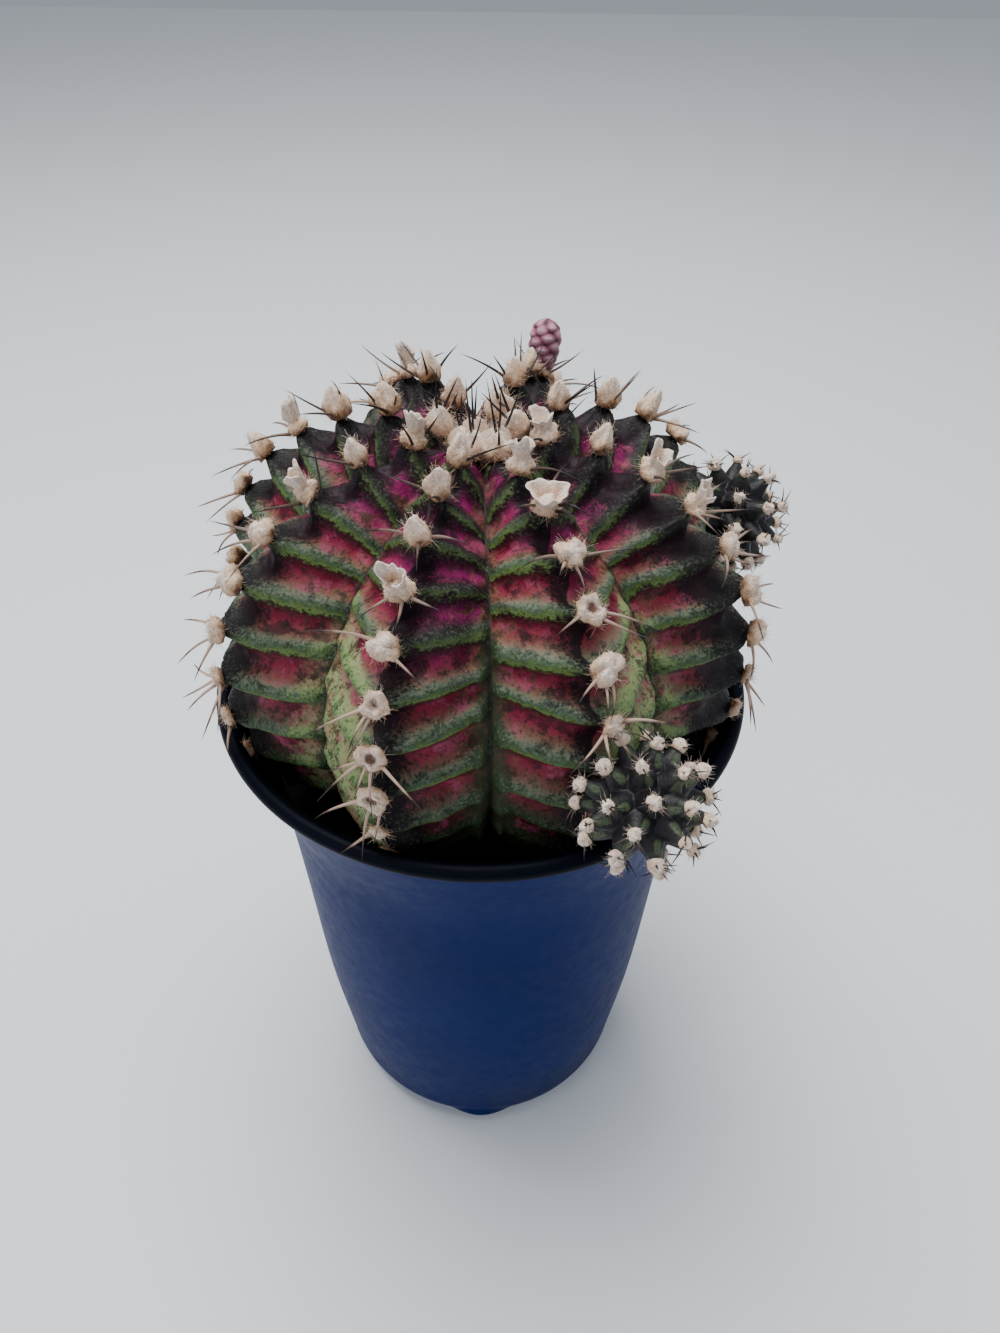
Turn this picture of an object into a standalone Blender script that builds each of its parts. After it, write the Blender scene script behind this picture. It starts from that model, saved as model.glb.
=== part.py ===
"""Potted round cactus: a ribbed globe with two offsets and a bud, in a deep plastic nursery pot.

Run with  blender --background --python part.py,  or from Blender's text editor.
Metres, +Z up. The origin is the middle of the pot's underside, and -Y is the front.
Every piece of the plant rests on its neighbour with a gap of CLEARANCE.
"""

import math

import bmesh
import bpy
import numpy as np
from mathutils import Vector

MM = 0.001
CLEARANCE = 0.35 * MM

# Pot: a thin moulded shell that flares to a rolled rim.
POT_HEIGHT = 103 * MM
RIM_RADIUS = 42.5 * MM
POT_WALL = 1.1 * MM
POT_FOOT_RADIUS = 29.3 * MM
POT_CORNER = 8.0 * MM
POT_SIDES = 40
DRAIN_HOLES = 5
DRAIN_RADIUS = 3.2 * MM
DRAIN_RING = 15.0 * MM
FOOT_LUGS = 4
LUG_HALF_WIDTH = 6.5 * MM
LUG_HEIGHT = 2.4 * MM
LUG_DEPTH = 1.6 * MM

# Potting mix: fills the pot to this depth below the rim.
SOIL_DROP = 15.5 * MM

# Stem: heights are measured from the rim, where the widest part of the plant sits just above.
CREST_RADIUS = 40.6 * MM
CREST_CENTRE = 10.0 * MM
CREST_RISE = 33.6 * MM
CREST_FALL = 36.0 * MM
CREST_SQUARENESS = 2.3
CROWN_DIP = 4.5 * MM
CROWN_DIP_RADIUS = 8.0 * MM
FURROW_RADIUS = 33.0 * MM
FURROW_CENTRE = 7.0 * MM
FURROW_LEAD = math.radians(8.0)
NECK_DRAW = 1.6
NOTCH_DEPTH = 1.9 * MM

# Ribs: direction of each crest in degrees, clockwise from the front as seen from above. Along
# each crest, in millimetres, the distance from the crown to the first areole and the pitch
# from one areole to the next. The first areole lies in the crown wool; so many more stand clear.
RIB_DIRECTIONS = (24, 70, 116, 160, 209, 254, 297, 340)
FIRST_AREOLES = (12.7, 9.5, 12.6, 14.0, 9.5, 13.9, 10.6, 10.2)
AREOLE_PITCHES = (7.2, 7.3, 7.8, 6.9, 7.5, 7.5, 7.7, 7.0)
AREOLES_PER_RIB = 11
STANDING_AREOLES = (4, 6, 3, 6, 6, 6, 6, 6)

# Areole: a cushion of wool with three spines.
CUSHION_RADIUS = 1.7 * MM
CUSHION_HEIGHT = 3.2 * MM
SPINE_LENGTH = 8.0 * MM
SPINE_RADIUS = 0.42 * MM
SPINE_SPREAD = ((28.0, 64.0), (28.0, -64.0), (52.0, 0.0))

# Offsets: direction, distance from the axis, height above the rim, radius.
OFFSETS = {
    "offset_front": (27.2, 44.8 * MM, 11.3 * MM, 8.2 * MM),
    "offset_back": (117.0, 46.4 * MM, 14.5 * MM, 9.0 * MM),
}
OFFSET_TUBERCLES = 26
BUD_RIB = 3
BUD_ALONG = 28.0 * MM
BUD_RADIUS = 3.1 * MM
BUD_LENGTH = 7.4 * MM


def clear_scene():
    """Remove the startup objects."""
    for item in list(bpy.data.objects):
        bpy.data.objects.remove(item, do_unlink=True)


def material(name, colour, roughness):
    """A plain Principled material with a linear colour."""
    made = bpy.data.materials.get(name)
    if made is None:
        made = bpy.data.materials.new(name)
        made.use_nodes = True
        shader = made.node_tree.nodes["Principled BSDF"]
        shader.inputs["Base Color"].default_value = (*colour, 1.0)
        shader.inputs["Roughness"].default_value = roughness
        shader.inputs["Metallic"].default_value = 0.0
    return made


def add_object(name, points, faces, finish):
    """A named mesh object from points and faces, with its faces turned outward."""
    mesh = bpy.data.meshes.new(name)
    mesh.from_pydata([tuple(p) for p in points], [], [tuple(f) for f in faces])
    shell = bmesh.new()
    shell.from_mesh(mesh)
    bmesh.ops.recalc_face_normals(shell, faces=shell.faces)
    shell.to_mesh(mesh)
    shell.free()
    mesh.shade_smooth()
    mesh.set_sharp_from_angle(angle=math.radians(40))
    mesh.materials.append(finish)
    made = bpy.data.objects.new(name, mesh)
    bpy.context.scene.collection.objects.link(made)
    return made


def combine(target, tool, operation):
    """Apply a Boolean of tool to target, and remove the tool."""
    cut = target.modifiers.new("combine", "BOOLEAN")
    cut.operation = operation
    cut.object = tool
    graph = bpy.context.evaluated_depsgraph_get()
    result = bpy.data.meshes.new_from_object(target.evaluated_get(graph))
    target.modifiers.remove(cut)
    target.data = result
    bpy.data.objects.remove(tool, do_unlink=True)
    return target


def grid_faces(rows, columns, start=0):
    """Quads of a grid of points stored row by row, whose columns close on themselves."""
    return [
        (
            start + row * columns + column,
            start + row * columns + (column + 1) % columns,
            start + (row + 1) * columns + (column + 1) % columns,
            start + (row + 1) * columns + column,
        )
        for row in range(rows - 1)
        for column in range(columns)
    ]


def pole_faces(pole, ring_start, columns):
    """Triangles from one pole point to a closed ring."""
    return [
        (pole, ring_start + column, ring_start + (column + 1) % columns) for column in range(columns)
    ]


def closed_grid(rings, first_pole, last_pole):
    """Points and faces of a closed surface: a first pole, rings of equal length, a last pole."""
    rows, columns = len(rings), len(rings[0])
    points = [first_pole] + [p for ring in rings for p in ring] + [last_pole]
    faces = pole_faces(0, 1, columns) + grid_faces(rows, columns, 1)
    faces += pole_faces(len(points) - 1, 1 + (rows - 1) * columns, columns)
    return points, faces


def lathe(profile, sides):
    """A closed surface turned about Z from (radius, height) pairs that start and end on the axis."""
    turns = [2 * math.pi * (k + 0.5) / sides for k in range(sides)]
    rings = [[(r * math.cos(t), r * math.sin(t), z) for t in turns] for r, z in profile[1:-1]]
    return closed_grid(rings, (0, 0, profile[0][1]), (0, 0, profile[-1][1]))


# ---------------------------------------------------------------- pot and potting mix


def pot_outline():
    """Outside of the pot as (radius, height): flat base, round corner, nearly straight wall, flare."""
    centre_r = POT_FOOT_RADIUS - POT_CORNER
    corner = [
        (
            centre_r + POT_CORNER * math.sin(math.radians(a)),
            POT_CORNER * (1 - math.cos(math.radians(a))),
        )
        for a in range(0, 91, 18)
    ]
    wall = [
        (31.9 * MM, 0.31 * POT_HEIGHT),
        (33.6 * MM, 0.60 * POT_HEIGHT),
        (34.9 * MM, 0.77 * POT_HEIGHT),
        (37.2 * MM, 0.87 * POT_HEIGHT),
        (40.4 * MM, 0.965 * POT_HEIGHT),
    ]
    return corner + wall


def pot_inside():
    """Inside of the pot: the outline taken in by the wall's thickness."""
    outline = pot_outline()
    inside = [(outline[0][0], POT_WALL)]
    for before, here, after in zip(outline, outline[1:], outline[2:] + [outline[-1]]):
        run_r, run_z = after[0] - before[0], after[1] - before[1]
        length = math.hypot(run_r, run_z)
        inside.append((here[0] - POT_WALL * run_z / length, here[1] + POT_WALL * run_r / length))
    return inside


def lug_bulge(turn, height):
    """How far the outside stands out at the moulded lugs round the pot's lower corner."""
    apart = (turn + math.pi / 2 + math.pi / FOOT_LUGS) % (2 * math.pi / FOOT_LUGS) - math.pi / FOOT_LUGS
    across = apart * POT_FOOT_RADIUS / LUG_HALF_WIDTH
    up = (height - LUG_HEIGHT) / LUG_HEIGHT
    return LUG_DEPTH * max(0.0, 1 - across * across) * max(0.0, 1 - up * up)


def drain_drill(turn, finish):
    """A round drill for one drain hole of the base."""
    profile = [(0, -3 * MM), (DRAIN_RADIUS, -3 * MM), (DRAIN_RADIUS, 5 * MM), (0, 5 * MM)]
    points, faces = lathe(profile, 12)
    spot = Vector((DRAIN_RING * math.cos(turn), DRAIN_RING * math.sin(turn), 0))
    return add_object("drill", [Vector(p) + spot for p in points], faces, finish)


def make_pot():
    """The pot: outline with lugs, rolled rim, inside wall, and drain holes through the base."""
    roll = POT_HEIGHT - 0.965 * POT_HEIGHT
    rim = [
        (RIM_RADIUS - 0.3 * MM, POT_HEIGHT - 0.75 * roll),
        (RIM_RADIUS, POT_HEIGHT - 0.40 * roll),
        (RIM_RADIUS - 0.5 * MM, POT_HEIGHT - 0.08 * roll),
        (RIM_RADIUS - 1.3 * MM, POT_HEIGHT),
        (RIM_RADIUS - 2.0 * MM, POT_HEIGHT - 0.15 * roll),
    ]
    outline, inside = pot_outline(), pot_inside()
    turns = [2 * math.pi * (k + 0.5) / POT_SIDES for k in range(POT_SIDES)]
    rings = []
    for radius, height in outline + rim:
        reach = [radius + (lug_bulge(t, height) if height > 0 else 0.0) for t in turns]
        rings.append([(r * math.cos(t), r * math.sin(t), height) for r, t in zip(reach, turns)])
    for radius, height in inside[::-1]:
        rings.append([(radius * math.cos(t), radius * math.sin(t), height) for t in turns])
    plastic = material("navy_polypropylene", (0.010, 0.024, 0.075), 0.45)
    pot = add_object("pot", *closed_grid(rings, (0, 0, 0), (0, 0, POT_WALL)), plastic)
    for i in range(DRAIN_HOLES):
        combine(pot, drain_drill(2 * math.pi * (i + 0.5) / DRAIN_HOLES, plastic), "DIFFERENCE")
    return pot


def make_soil():
    """The potting mix: it fills the pot's inside up to its level, with a pit where the stem is set in."""
    level = POT_HEIGHT - SOIL_DROP
    inside = [(r - CLEARANCE, z + CLEARANCE) for r, z in pot_inside() if z < level - 2 * MM]
    below, above = inside[-1], (pot_inside()[-2][0] - CLEARANCE, pot_inside()[-2][1])
    share = (level - below[1]) / (above[1] - below[1])
    edge = (below[0] + share * (above[0] - below[0]) - 0.4 * MM, level)
    middle = (0.72 * edge[0], level + 0.9 * MM)
    profile = [(0, inside[0][1])] + inside + [edge, middle, (0, level + 1.0 * MM)]
    mix = material("potting_mix", (0.020, 0.016, 0.013), 0.95)
    soil = add_object("potting_mix", *lathe(profile, POT_SIDES), mix)
    pit = stem_object("pit", mix, 2.4 * CLEARANCE)
    return combine(soil, pit, "DIFFERENCE")


# ---------------------------------------------------------------- stem


def crest_point(angle):
    """(radius, height above the rim) of a rib's crest; the angle runs from the root, -90, to the crown, 90."""
    if angle < 0:
        return (
            CREST_RADIUS * math.cos(angle),
            CREST_CENTRE + CREST_FALL * math.sin(angle),
        )
    power = 2 / CREST_SQUARENESS
    radius = CREST_RADIUS * max(math.cos(angle), 0.0) ** power
    dip = CROWN_DIP * math.exp(-((radius / CROWN_DIP_RADIUS) ** 2))
    return radius, CREST_CENTRE + CREST_RISE * math.sin(angle) ** power - dip


def furrow_point(angle):
    """(radius, height above the rim) of the furrow beside the crest point of the same angle."""
    crown_height = crest_point(math.pi / 2)[1] - FURROW_CENTRE
    root_height = FURROW_CENTRE - crest_point(-math.pi / 2)[1]
    if angle > 0:
        angle += FURROW_LEAD * math.sin(2 * angle)
    rise = crown_height if angle > 0 else root_height
    drawn_in = 1.0 if angle > 0 else NECK_DRAW
    radius = FURROW_RADIUS * max(math.cos(angle), 0.0) ** drawn_in
    return radius, FURROW_CENTRE + rise * math.sin(angle)


def measure_crest():
    """Length along the crest from the crown, and the angle there, as two arrays for interpolation."""
    angles = np.linspace(math.pi / 2, -math.pi / 2, 721)
    line = np.array([crest_point(a) for a in angles])
    steps = np.hypot(*np.diff(line, axis=0).T)
    return np.concatenate([[0.0], np.cumsum(steps)]), angles


CREST_LENGTHS, CREST_ANGLES = measure_crest()


def angle_along(length):
    """The crest angle at a length from the crown."""
    return float(np.interp(length, CREST_LENGTHS, CREST_ANGLES))


def row_lengths(rib):
    """Lengths from the crown at which the stem has a ring of points on this rib: areoles and notches."""
    first, pitch = FIRST_AREOLES[rib] * MM, AREOLE_PITCHES[rib] * MM
    rows = [first - 0.75 * pitch]
    rows += [first + 0.5 * pitch * k for k in range(2 * AREOLES_PER_RIB - 1)]
    total = CREST_LENGTHS[-1]
    last = rows[-1]
    return rows + [last + (total - last) * share for share in (0.4, 0.75)]


def place(direction, radius, height):
    """A point from its direction (clockwise from the front), distance from the axis and height above the rim."""
    return Vector(
        (radius * math.sin(direction), -radius * math.cos(direction), POT_HEIGHT + height)
    )


def stem_rings():
    """Rings of stem points from the crown down; each rib has a crest, two flanks and a furrow beside it."""
    ribs = len(RIB_DIRECTIONS)
    directions = [math.radians(d) for d in RIB_DIRECTIONS]
    rows = [row_lengths(rib) for rib in range(ribs)]
    flank_shares = (0.0, 0.16, 0.55, 1.0, 0.55, 0.16)
    rings = []
    for row in range(len(rows[0])):
        notch = NOTCH_DEPTH if row % 2 == 0 and 0 < row < len(rows[0]) - 2 else 0.0
        angles = [angle_along(rows[rib][row]) for rib in range(ribs)]
        ring = []
        for rib in range(ribs):
            after = (rib + 1) % ribs
            step = (directions[after] - directions[rib]) % (2 * math.pi)
            between = 0.5 * (angles[rib] + angles[after])
            for column, share in enumerate(flank_shares):
                own = rib if column < 4 else after
                turn = directions[rib] + step * (0.5 * share if column < 4 else 1 - 0.5 * share)
                angle = angles[own] + (between - angles[own]) * share
                crest, furrow = np.array(crest_point(angle)), np.array(furrow_point(angle))
                out = (crest - furrow) / max(np.linalg.norm(crest - furrow), MM)
                spot = furrow + (crest - furrow) * (1 - share)
                spot = spot - out * notch * max(0.0, 1 - 2 * share)
                ring.append(place(turn, spot[0], spot[1]))
        rings.append(ring)
    return rings


def stem_object(name, finish, grow=0.0):
    """The stem as a closed solid, or a copy grown along its normals to cut its neighbours with."""
    crown = place(0, *crest_point(math.pi / 2))
    root = place(0, *crest_point(-math.pi / 2))
    made = add_object(name, *closed_grid(stem_rings(), crown, root), finish)
    if grow:
        normals = [v.normal.copy() for v in made.data.vertices]
        for vertex, normal in zip(made.data.vertices, normals):
            vertex.co += normal * grow
    return made


def make_stem():
    """The ribbed globe: eight ribs, each with a row of knobs and notches along its crest."""
    return stem_object("stem", material("stem_skin", (0.16, 0.045, 0.035), 0.5))


# ---------------------------------------------------------------- areoles, crown wool and bud


def crest_frame(rib, length):
    """Place on a rib's crest, with the outward, rootward and sideways directions there."""
    direction = math.radians(RIB_DIRECTIONS[rib])
    step = 0.2 * MM
    before = place(direction, *crest_point(angle_along(length - step)))
    after = place(direction, *crest_point(angle_along(length + step)))
    rootward = (after - before).normalized()
    sideways = Vector((math.cos(direction), math.sin(direction), 0))
    outward = sideways.cross(rootward).normalized()
    middle = place(direction, *crest_point(angle_along(length)))
    if outward.dot(middle - place(0, 0, CREST_CENTRE)) < 0:
        outward = -outward
    return middle, outward, rootward, sideways


def spine(base, aim, droop, length, radius):
    """A four-sided spine with one bend: points and faces, closed at both ends."""
    aside = aim.orthogonal().normalized()
    across = aim.cross(aside)
    bend = base + aim * 0.55 * length
    tip = base + aim * length + droop * 0.12 * length
    points = []
    for middle, size in ((base, radius), (bend, 0.7 * radius)):
        points += [
            middle + (aside * math.cos(a) + across * math.sin(a)) * size
            for a in (math.pi * k / 2 for k in range(4))
        ]
    points.append(tip)
    return points, grid_faces(2, 4) + pole_faces(8, 4, 4) + [(3, 2, 1, 0)]


def make_areole(name, rib, length, wool, spread):
    """A wool cushion that sits on the crest, joined to its spines."""
    middle, outward, rootward, sideways = crest_frame(rib, length)
    seat = middle + outward * CLEARANCE
    bulge = ((0.80, 0.0), (1.0, 0.35), (0.72, 0.75))
    rings = [
        [
            seat
            + (rootward * math.cos(a) + sideways * math.sin(a)) * CUSHION_RADIUS * size
            + outward * CUSHION_HEIGHT * level
            for a in (2 * math.pi * k / 7 for k in range(7))
        ]
        for size, level in bulge
    ]
    cushion = add_object(
        name, *closed_grid(rings, seat, seat + outward * CUSHION_HEIGHT), wool
    )
    points, faces = [], []
    for lift, swing in spread:
        lift, swing = math.radians(lift), math.radians(swing)
        flat = rootward * math.cos(swing) + sideways * math.sin(swing)
        aim = (outward * math.sin(lift) + flat * math.cos(lift)).normalized()
        base = seat + outward * 0.42 * CUSHION_HEIGHT + flat * 0.42 * CUSHION_RADIUS
        more_points, more_faces = spine(base, aim, rootward, SPINE_LENGTH, SPINE_RADIUS)
        faces += [tuple(i + len(points) for i in face) for face in more_faces]
        points += more_points
    spines = add_object("spines", points, faces, wool)
    return combine(cushion, spines, "UNION")


def make_areoles():
    """The areoles that stand clear on each rib; the youngest lie in the crown wool."""
    wool = material("areole_wool", (0.62, 0.50, 0.38), 0.9)
    for rib in range(len(RIB_DIRECTIONS)):
        pitch = AREOLE_PITCHES[rib] * MM
        for number in range(1, 1 + STANDING_AREOLES[rib]):
            length = FIRST_AREOLES[rib] * MM + number * pitch
            to_bud = BUD_ALONG - length if rib == BUD_RIB else 2 * pitch
            if abs(to_bud) < 0.5 * pitch:
                continue
            spread = SPINE_SPREAD[:2] if 0 < to_bud < 1.5 * pitch else SPINE_SPREAD
            make_areole(f"areole_rib{rib + 1}_no{number}", rib, length, wool, spread)


def make_crown_wool():
    """The felt of young areoles that fills the dip at the crown, shaped to the stem under it."""
    wool = material("areole_wool", (0.62, 0.50, 0.38), 0.9)
    floor = crest_point(math.pi / 2)[1] - 2 * MM
    profile = [(0, 0), (5.0 * MM, 0.4 * MM), (6.4 * MM, 3.4 * MM), (5.0 * MM, 5.8 * MM), (0, 7.2 * MM)]
    profile = [(r, z + POT_HEIGHT + floor) for r, z in profile]
    felt = add_object("crown_wool", *lathe(profile, 16), wool)
    return combine(felt, stem_object("under", wool, 1.4 * CLEARANCE), "DIFFERENCE")


def make_bud():
    """A scaly flower bud that stands on the crest of a back rib."""
    middle, outward, rootward, sideways = crest_frame(BUD_RIB, BUD_ALONG)
    aim = (outward + Vector((0, 0, 1.2))).normalized()
    side = sideways
    front = aim.cross(side).normalized()
    foot = middle + outward * (CLEARANCE + 0.8 * MM)
    outline = ((0.55, 0.02), (0.80, 0.22), (1.0, 0.55), (0.86, 0.80), (0.45, 0.96))
    rings = [
        [
            foot + (side * math.cos(a) + front * math.sin(a)) * BUD_RADIUS * size + aim * BUD_LENGTH * level
            for a in (2 * math.pi * k / 12 for k in range(12))
        ]
        for size, level in outline
    ]
    pink = material("bud_scales", (0.50, 0.20, 0.22), 0.6)
    return add_object("flower_bud", *closed_grid(rings, foot, foot + aim * BUD_LENGTH), pink)


# ---------------------------------------------------------------- offsets


def spiral_directions(count):
    """Evenly spread unit vectors, each a golden angle round from the one before."""
    golden = math.pi * (3 - math.sqrt(5))
    heights = [1 - (2 * k + 1) / count for k in range(count)]
    return np.array(
        [
            (math.sqrt(1 - h * h) * math.cos(golden * k), math.sqrt(1 - h * h) * math.sin(golden * k), h)
            for k, h in enumerate(heights)
        ]
    )


def make_offset(name, direction, distance, height, radius):
    """A young globe covered in knobs, cut to lie against the rib that it grows from."""
    knobs = spiral_directions(OFFSET_TUBERCLES)
    centre = place(math.radians(direction), distance, height)
    rings, columns, rows = [], 22, 13
    for row in range(1, rows):
        polar = math.pi * row / rows
        ring = []
        for column in range(columns):
            turn = 2 * math.pi * column / columns
            aim = np.array(
                (math.sin(polar) * math.cos(turn), math.sin(polar) * math.sin(turn), math.cos(polar))
            )
            nearest = math.acos(min(1.0, float((knobs @ aim).max())))
            swell = 0.24 * math.exp(-((nearest / 0.20) ** 2))
            ring.append(centre + Vector(aim * radius * (0.88 + swell)))
        rings.append(ring)
    top, bottom = centre + Vector((0, 0, radius)), centre - Vector((0, 0, radius))
    skin = material("offset_skin", (0.020, 0.028, 0.020), 0.55)
    young = add_object(name, *closed_grid(rings, top, bottom), skin)
    return combine(young, stem_object("under", skin, 1.4 * CLEARANCE), "DIFFERENCE")


def main():
    clear_scene()
    make_pot()
    make_soil()
    make_stem()
    make_areoles()
    make_crown_wool()
    make_bud()
    for name, sizes in OFFSETS.items():
        make_offset(name, *sizes)


main()
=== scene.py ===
"""Potted round cactus: the looks of each piece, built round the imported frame."""
import math

import bpy
import numpy as np
from mathutils import Matrix, Vector


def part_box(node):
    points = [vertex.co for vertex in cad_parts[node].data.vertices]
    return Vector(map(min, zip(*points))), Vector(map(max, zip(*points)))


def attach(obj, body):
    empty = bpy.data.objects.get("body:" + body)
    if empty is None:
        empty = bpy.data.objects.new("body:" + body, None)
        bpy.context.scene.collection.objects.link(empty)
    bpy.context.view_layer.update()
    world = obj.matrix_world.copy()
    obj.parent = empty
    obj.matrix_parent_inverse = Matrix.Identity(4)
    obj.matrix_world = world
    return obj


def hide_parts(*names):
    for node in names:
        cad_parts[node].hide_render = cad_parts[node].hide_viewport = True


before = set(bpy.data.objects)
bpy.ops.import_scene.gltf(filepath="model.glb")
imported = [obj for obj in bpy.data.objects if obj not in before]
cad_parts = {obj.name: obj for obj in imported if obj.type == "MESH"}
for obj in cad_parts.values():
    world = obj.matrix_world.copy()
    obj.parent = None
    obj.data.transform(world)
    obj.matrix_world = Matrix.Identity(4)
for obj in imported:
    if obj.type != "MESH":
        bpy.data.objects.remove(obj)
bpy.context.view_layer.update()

MM = 0.001

# ---------------------------------------------------------------- studio
# The pot stands on a plain pale table top in even studio light: one large soft panel above,
# weaker ones from the front left and the right, and a pale surround.


def linear(hex_colour):
    """An sRGB hex colour as linear red, green, blue and alpha."""
    channels = [int(hex_colour[i : i + 2], 16) / 255 for i in (1, 3, 5)]
    return (*[c / 12.92 if c <= 0.04045 else ((c + 0.055) / 1.055) ** 2.4 for c in channels], 1.0)


def set_inputs(tree, node, inputs):
    """Give a node's inputs, by name or number, their sockets, values or sRGB hex colours."""
    for key, value in inputs.items():
        if isinstance(value, bpy.types.NodeSocket):
            tree.links.new(value, node.inputs[key])
        else:
            node.inputs[key].default_value = linear(value) if isinstance(value, str) else value


def add_node(tree, kind, inputs=None, out=0, stops=(), **settings):
    """Add a node and return one of its outputs, by name or number. Settings are the node's own
    properties, and stops are the places and hex colours of a ramp."""
    made = tree.nodes.new("ShaderNode" + kind)
    for key, value in settings.items():
        setattr(made, key, value)
    set_inputs(tree, made, inputs or {})
    for k, (place, hex_colour) in enumerate(stops):
        ramp = made.color_ramp.elements
        stop = ramp[k] if k < 2 else ramp.new(place)
        stop.position, stop.color = place, linear(hex_colour)
    return made.outputs[out]


def new_material(name):
    """A material with its node tree and its Principled shader."""
    made = bpy.data.materials.new(name)
    made.use_nodes = True
    return made, made.node_tree, made.node_tree.nodes["Principled BSDF"]


def add_panel(name, place, aim, width, power, colour):
    """A square soft light at a place, turned to face the aim point."""
    lamp = bpy.data.lights.new(name, "AREA")
    lamp.shape, lamp.size = "SQUARE", width
    lamp.energy, lamp.color = power, linear(colour)[:3]
    panel = bpy.data.objects.new(name, lamp)
    panel.location = place
    panel.rotation_mode = "QUATERNION"
    panel.rotation_quaternion = (Vector(aim) - Vector(place)).to_track_quat("-Z", "Y")
    bpy.context.scene.collection.objects.link(panel)


rim_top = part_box("pot")[1].z
plant_middle = (0.0, 0.0, rim_top + 0.02)
add_panel("panel_above", (-0.10, 0.12, rim_top + 0.62), plant_middle, 0.50, 6.6, "#ffffff")
add_panel("panel_front", (-0.45, -0.50, rim_top + 0.35), plant_middle, 0.45, 1.3, "#f4f8ff")
add_panel("panel_side", (0.60, 0.05, rim_top + 0.25), plant_middle, 0.40, 0.5, "#e9f1ff")

surround = bpy.data.worlds.new("pale_surround")
surround.use_nodes = True
sky = surround.node_tree.nodes["Background"]
set_inputs(surround.node_tree, sky, {"Color": "#dfe8f5", "Strength": 0.42})
bpy.context.scene.world = surround

TABLE_HALF = 1.2
table_mesh = bpy.data.meshes.new("table_top")
table_corners = [(x * TABLE_HALF, y * TABLE_HALF, 0) for x, y in ((-1, -1), (1, -1), (1, 1), (-1, 1))]
table_mesh.from_pydata(table_corners, [], [(0, 1, 2, 3)])
table_top = bpy.data.objects.new("table_top", table_mesh)
bpy.context.scene.collection.objects.link(table_top)
paint, tree, shader = new_material("matt_white_table_paint")
set_inputs(tree, shader, {"Base Color": "#f1f3f5", "Roughness": 0.8})
table_mesh.materials.append(paint)

# The camera looks down at the plant from the front. It stands back from the pot's axis, and its
# height is measured from the rim.
CAMERA_BACK, CAMERA_RISE = 124.6 * MM, 110.4 * MM
CAMERA_DOWN, CAMERA_YAW, CAMERA_ROLL = (math.radians(a) for a in (41.82, 1.38, 1.0))
lens = bpy.data.cameras.new("camera")
lens.sensor_width, lens.lens = 36.0, 27.55
lens.clip_start, lens.clip_end = 0.005, 10.0
camera = bpy.data.objects.new("camera", lens)
level = math.cos(CAMERA_DOWN)
ahead = Vector((level * math.sin(CAMERA_YAW), level * math.cos(CAMERA_YAW), -math.sin(CAMERA_DOWN)))
right = ahead.cross(Vector((0, 0, 1))).normalized()
turned = Matrix.Rotation(-CAMERA_ROLL, 3, ahead)
right, above = turned @ right, turned @ right.cross(ahead)
stand = Matrix.Translation((0.0, -CAMERA_BACK, rim_top + CAMERA_RISE))
camera.matrix_world = stand @ Matrix((right, above, -ahead)).transposed().to_4x4()
bpy.context.scene.collection.objects.link(camera)
bpy.context.scene.camera = camera


# ---------------------------------------------------------------- pot
# The pot is a deep round nursery pot, injection moulded in thin navy polypropylene. Its rim is
# rolled over, its base has drain holes, and low lugs stand round the lower corner.
# It holds everything else and stands on its base.


def make_mesh(name, points, faces, finish, values=None):
    """A smooth mesh object from an (n, 3) array of points and lists of faces, with outward normals.

    The sum of each face's corner-fan volumes is six times the shape's volume, so a negative sum
    means that the faces point inwards, and they are all turned round. Values are arrays of one
    number per point, by the name of the attribute that they become.
    """
    points = np.asarray(points, float).reshape(-1, 3)
    centred = points - points.mean(0)
    volume = 0.0
    for group in faces:
        for k in range(1, group.shape[1] - 1):
            a, b, c = (centred[group[:, i]] for i in (0, k, k + 1))
            volume += float(np.einsum("ij,ij->", a, np.cross(b, c)))
    order = 1 if volume > 0 else -1
    mesh = bpy.data.meshes.new(name)
    mesh.from_pydata(points.tolist(), [], [f for group in faces for f in group[:, ::order].tolist()])
    for key, value in (values or {}).items():
        mesh.attributes.new(key, "FLOAT", "POINT").data.foreach_set("value", np.asarray(value, np.float32))
    mesh.shade_smooth()
    mesh.materials.append(finish)
    made = bpy.data.objects.new(name, mesh)
    bpy.context.scene.collection.objects.link(made)
    return made


def tube_faces(rows, columns):
    """Quads of a grid of points, rows by columns, whose columns close on themselves."""
    row, column = np.meshgrid(np.arange(rows - 1), np.arange(columns), indexing="ij")
    here, beyond = row * columns, (row + 1) * columns
    after = (column + 1) % columns
    return np.stack([here + column, here + after, beyond + after, beyond + column], -1).reshape(-1, 4)


def closed_faces(rows, columns):
    """Faces of rows by columns points, then one point that closes the first row and one the last."""
    column = np.arange(columns)
    after = (column + 1) % columns
    first = np.stack([np.full(columns, rows * columns), after, column], -1)
    last_row = (rows - 1) * columns
    last = np.stack([np.full(columns, rows * columns + 1), last_row + column, last_row + after], -1)
    return [tube_faces(rows, columns), first, last]


def turned_points(profile, columns, reach=0.0):
    """Points of a turned shape: each (radius, height) of the profile becomes a circle about the upright
    axis, to which reach, a number or an array of profile by columns, adds its own radius."""
    turn = 2 * np.pi * (np.arange(columns) + 0.5) / columns
    radius = np.broadcast_to(profile[:, :1] + reach, (len(profile), columns))
    height = np.broadcast_to(profile[:, 1:], radius.shape)
    return np.stack([radius * np.cos(turn), radius * np.sin(turn), height], -1)


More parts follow.
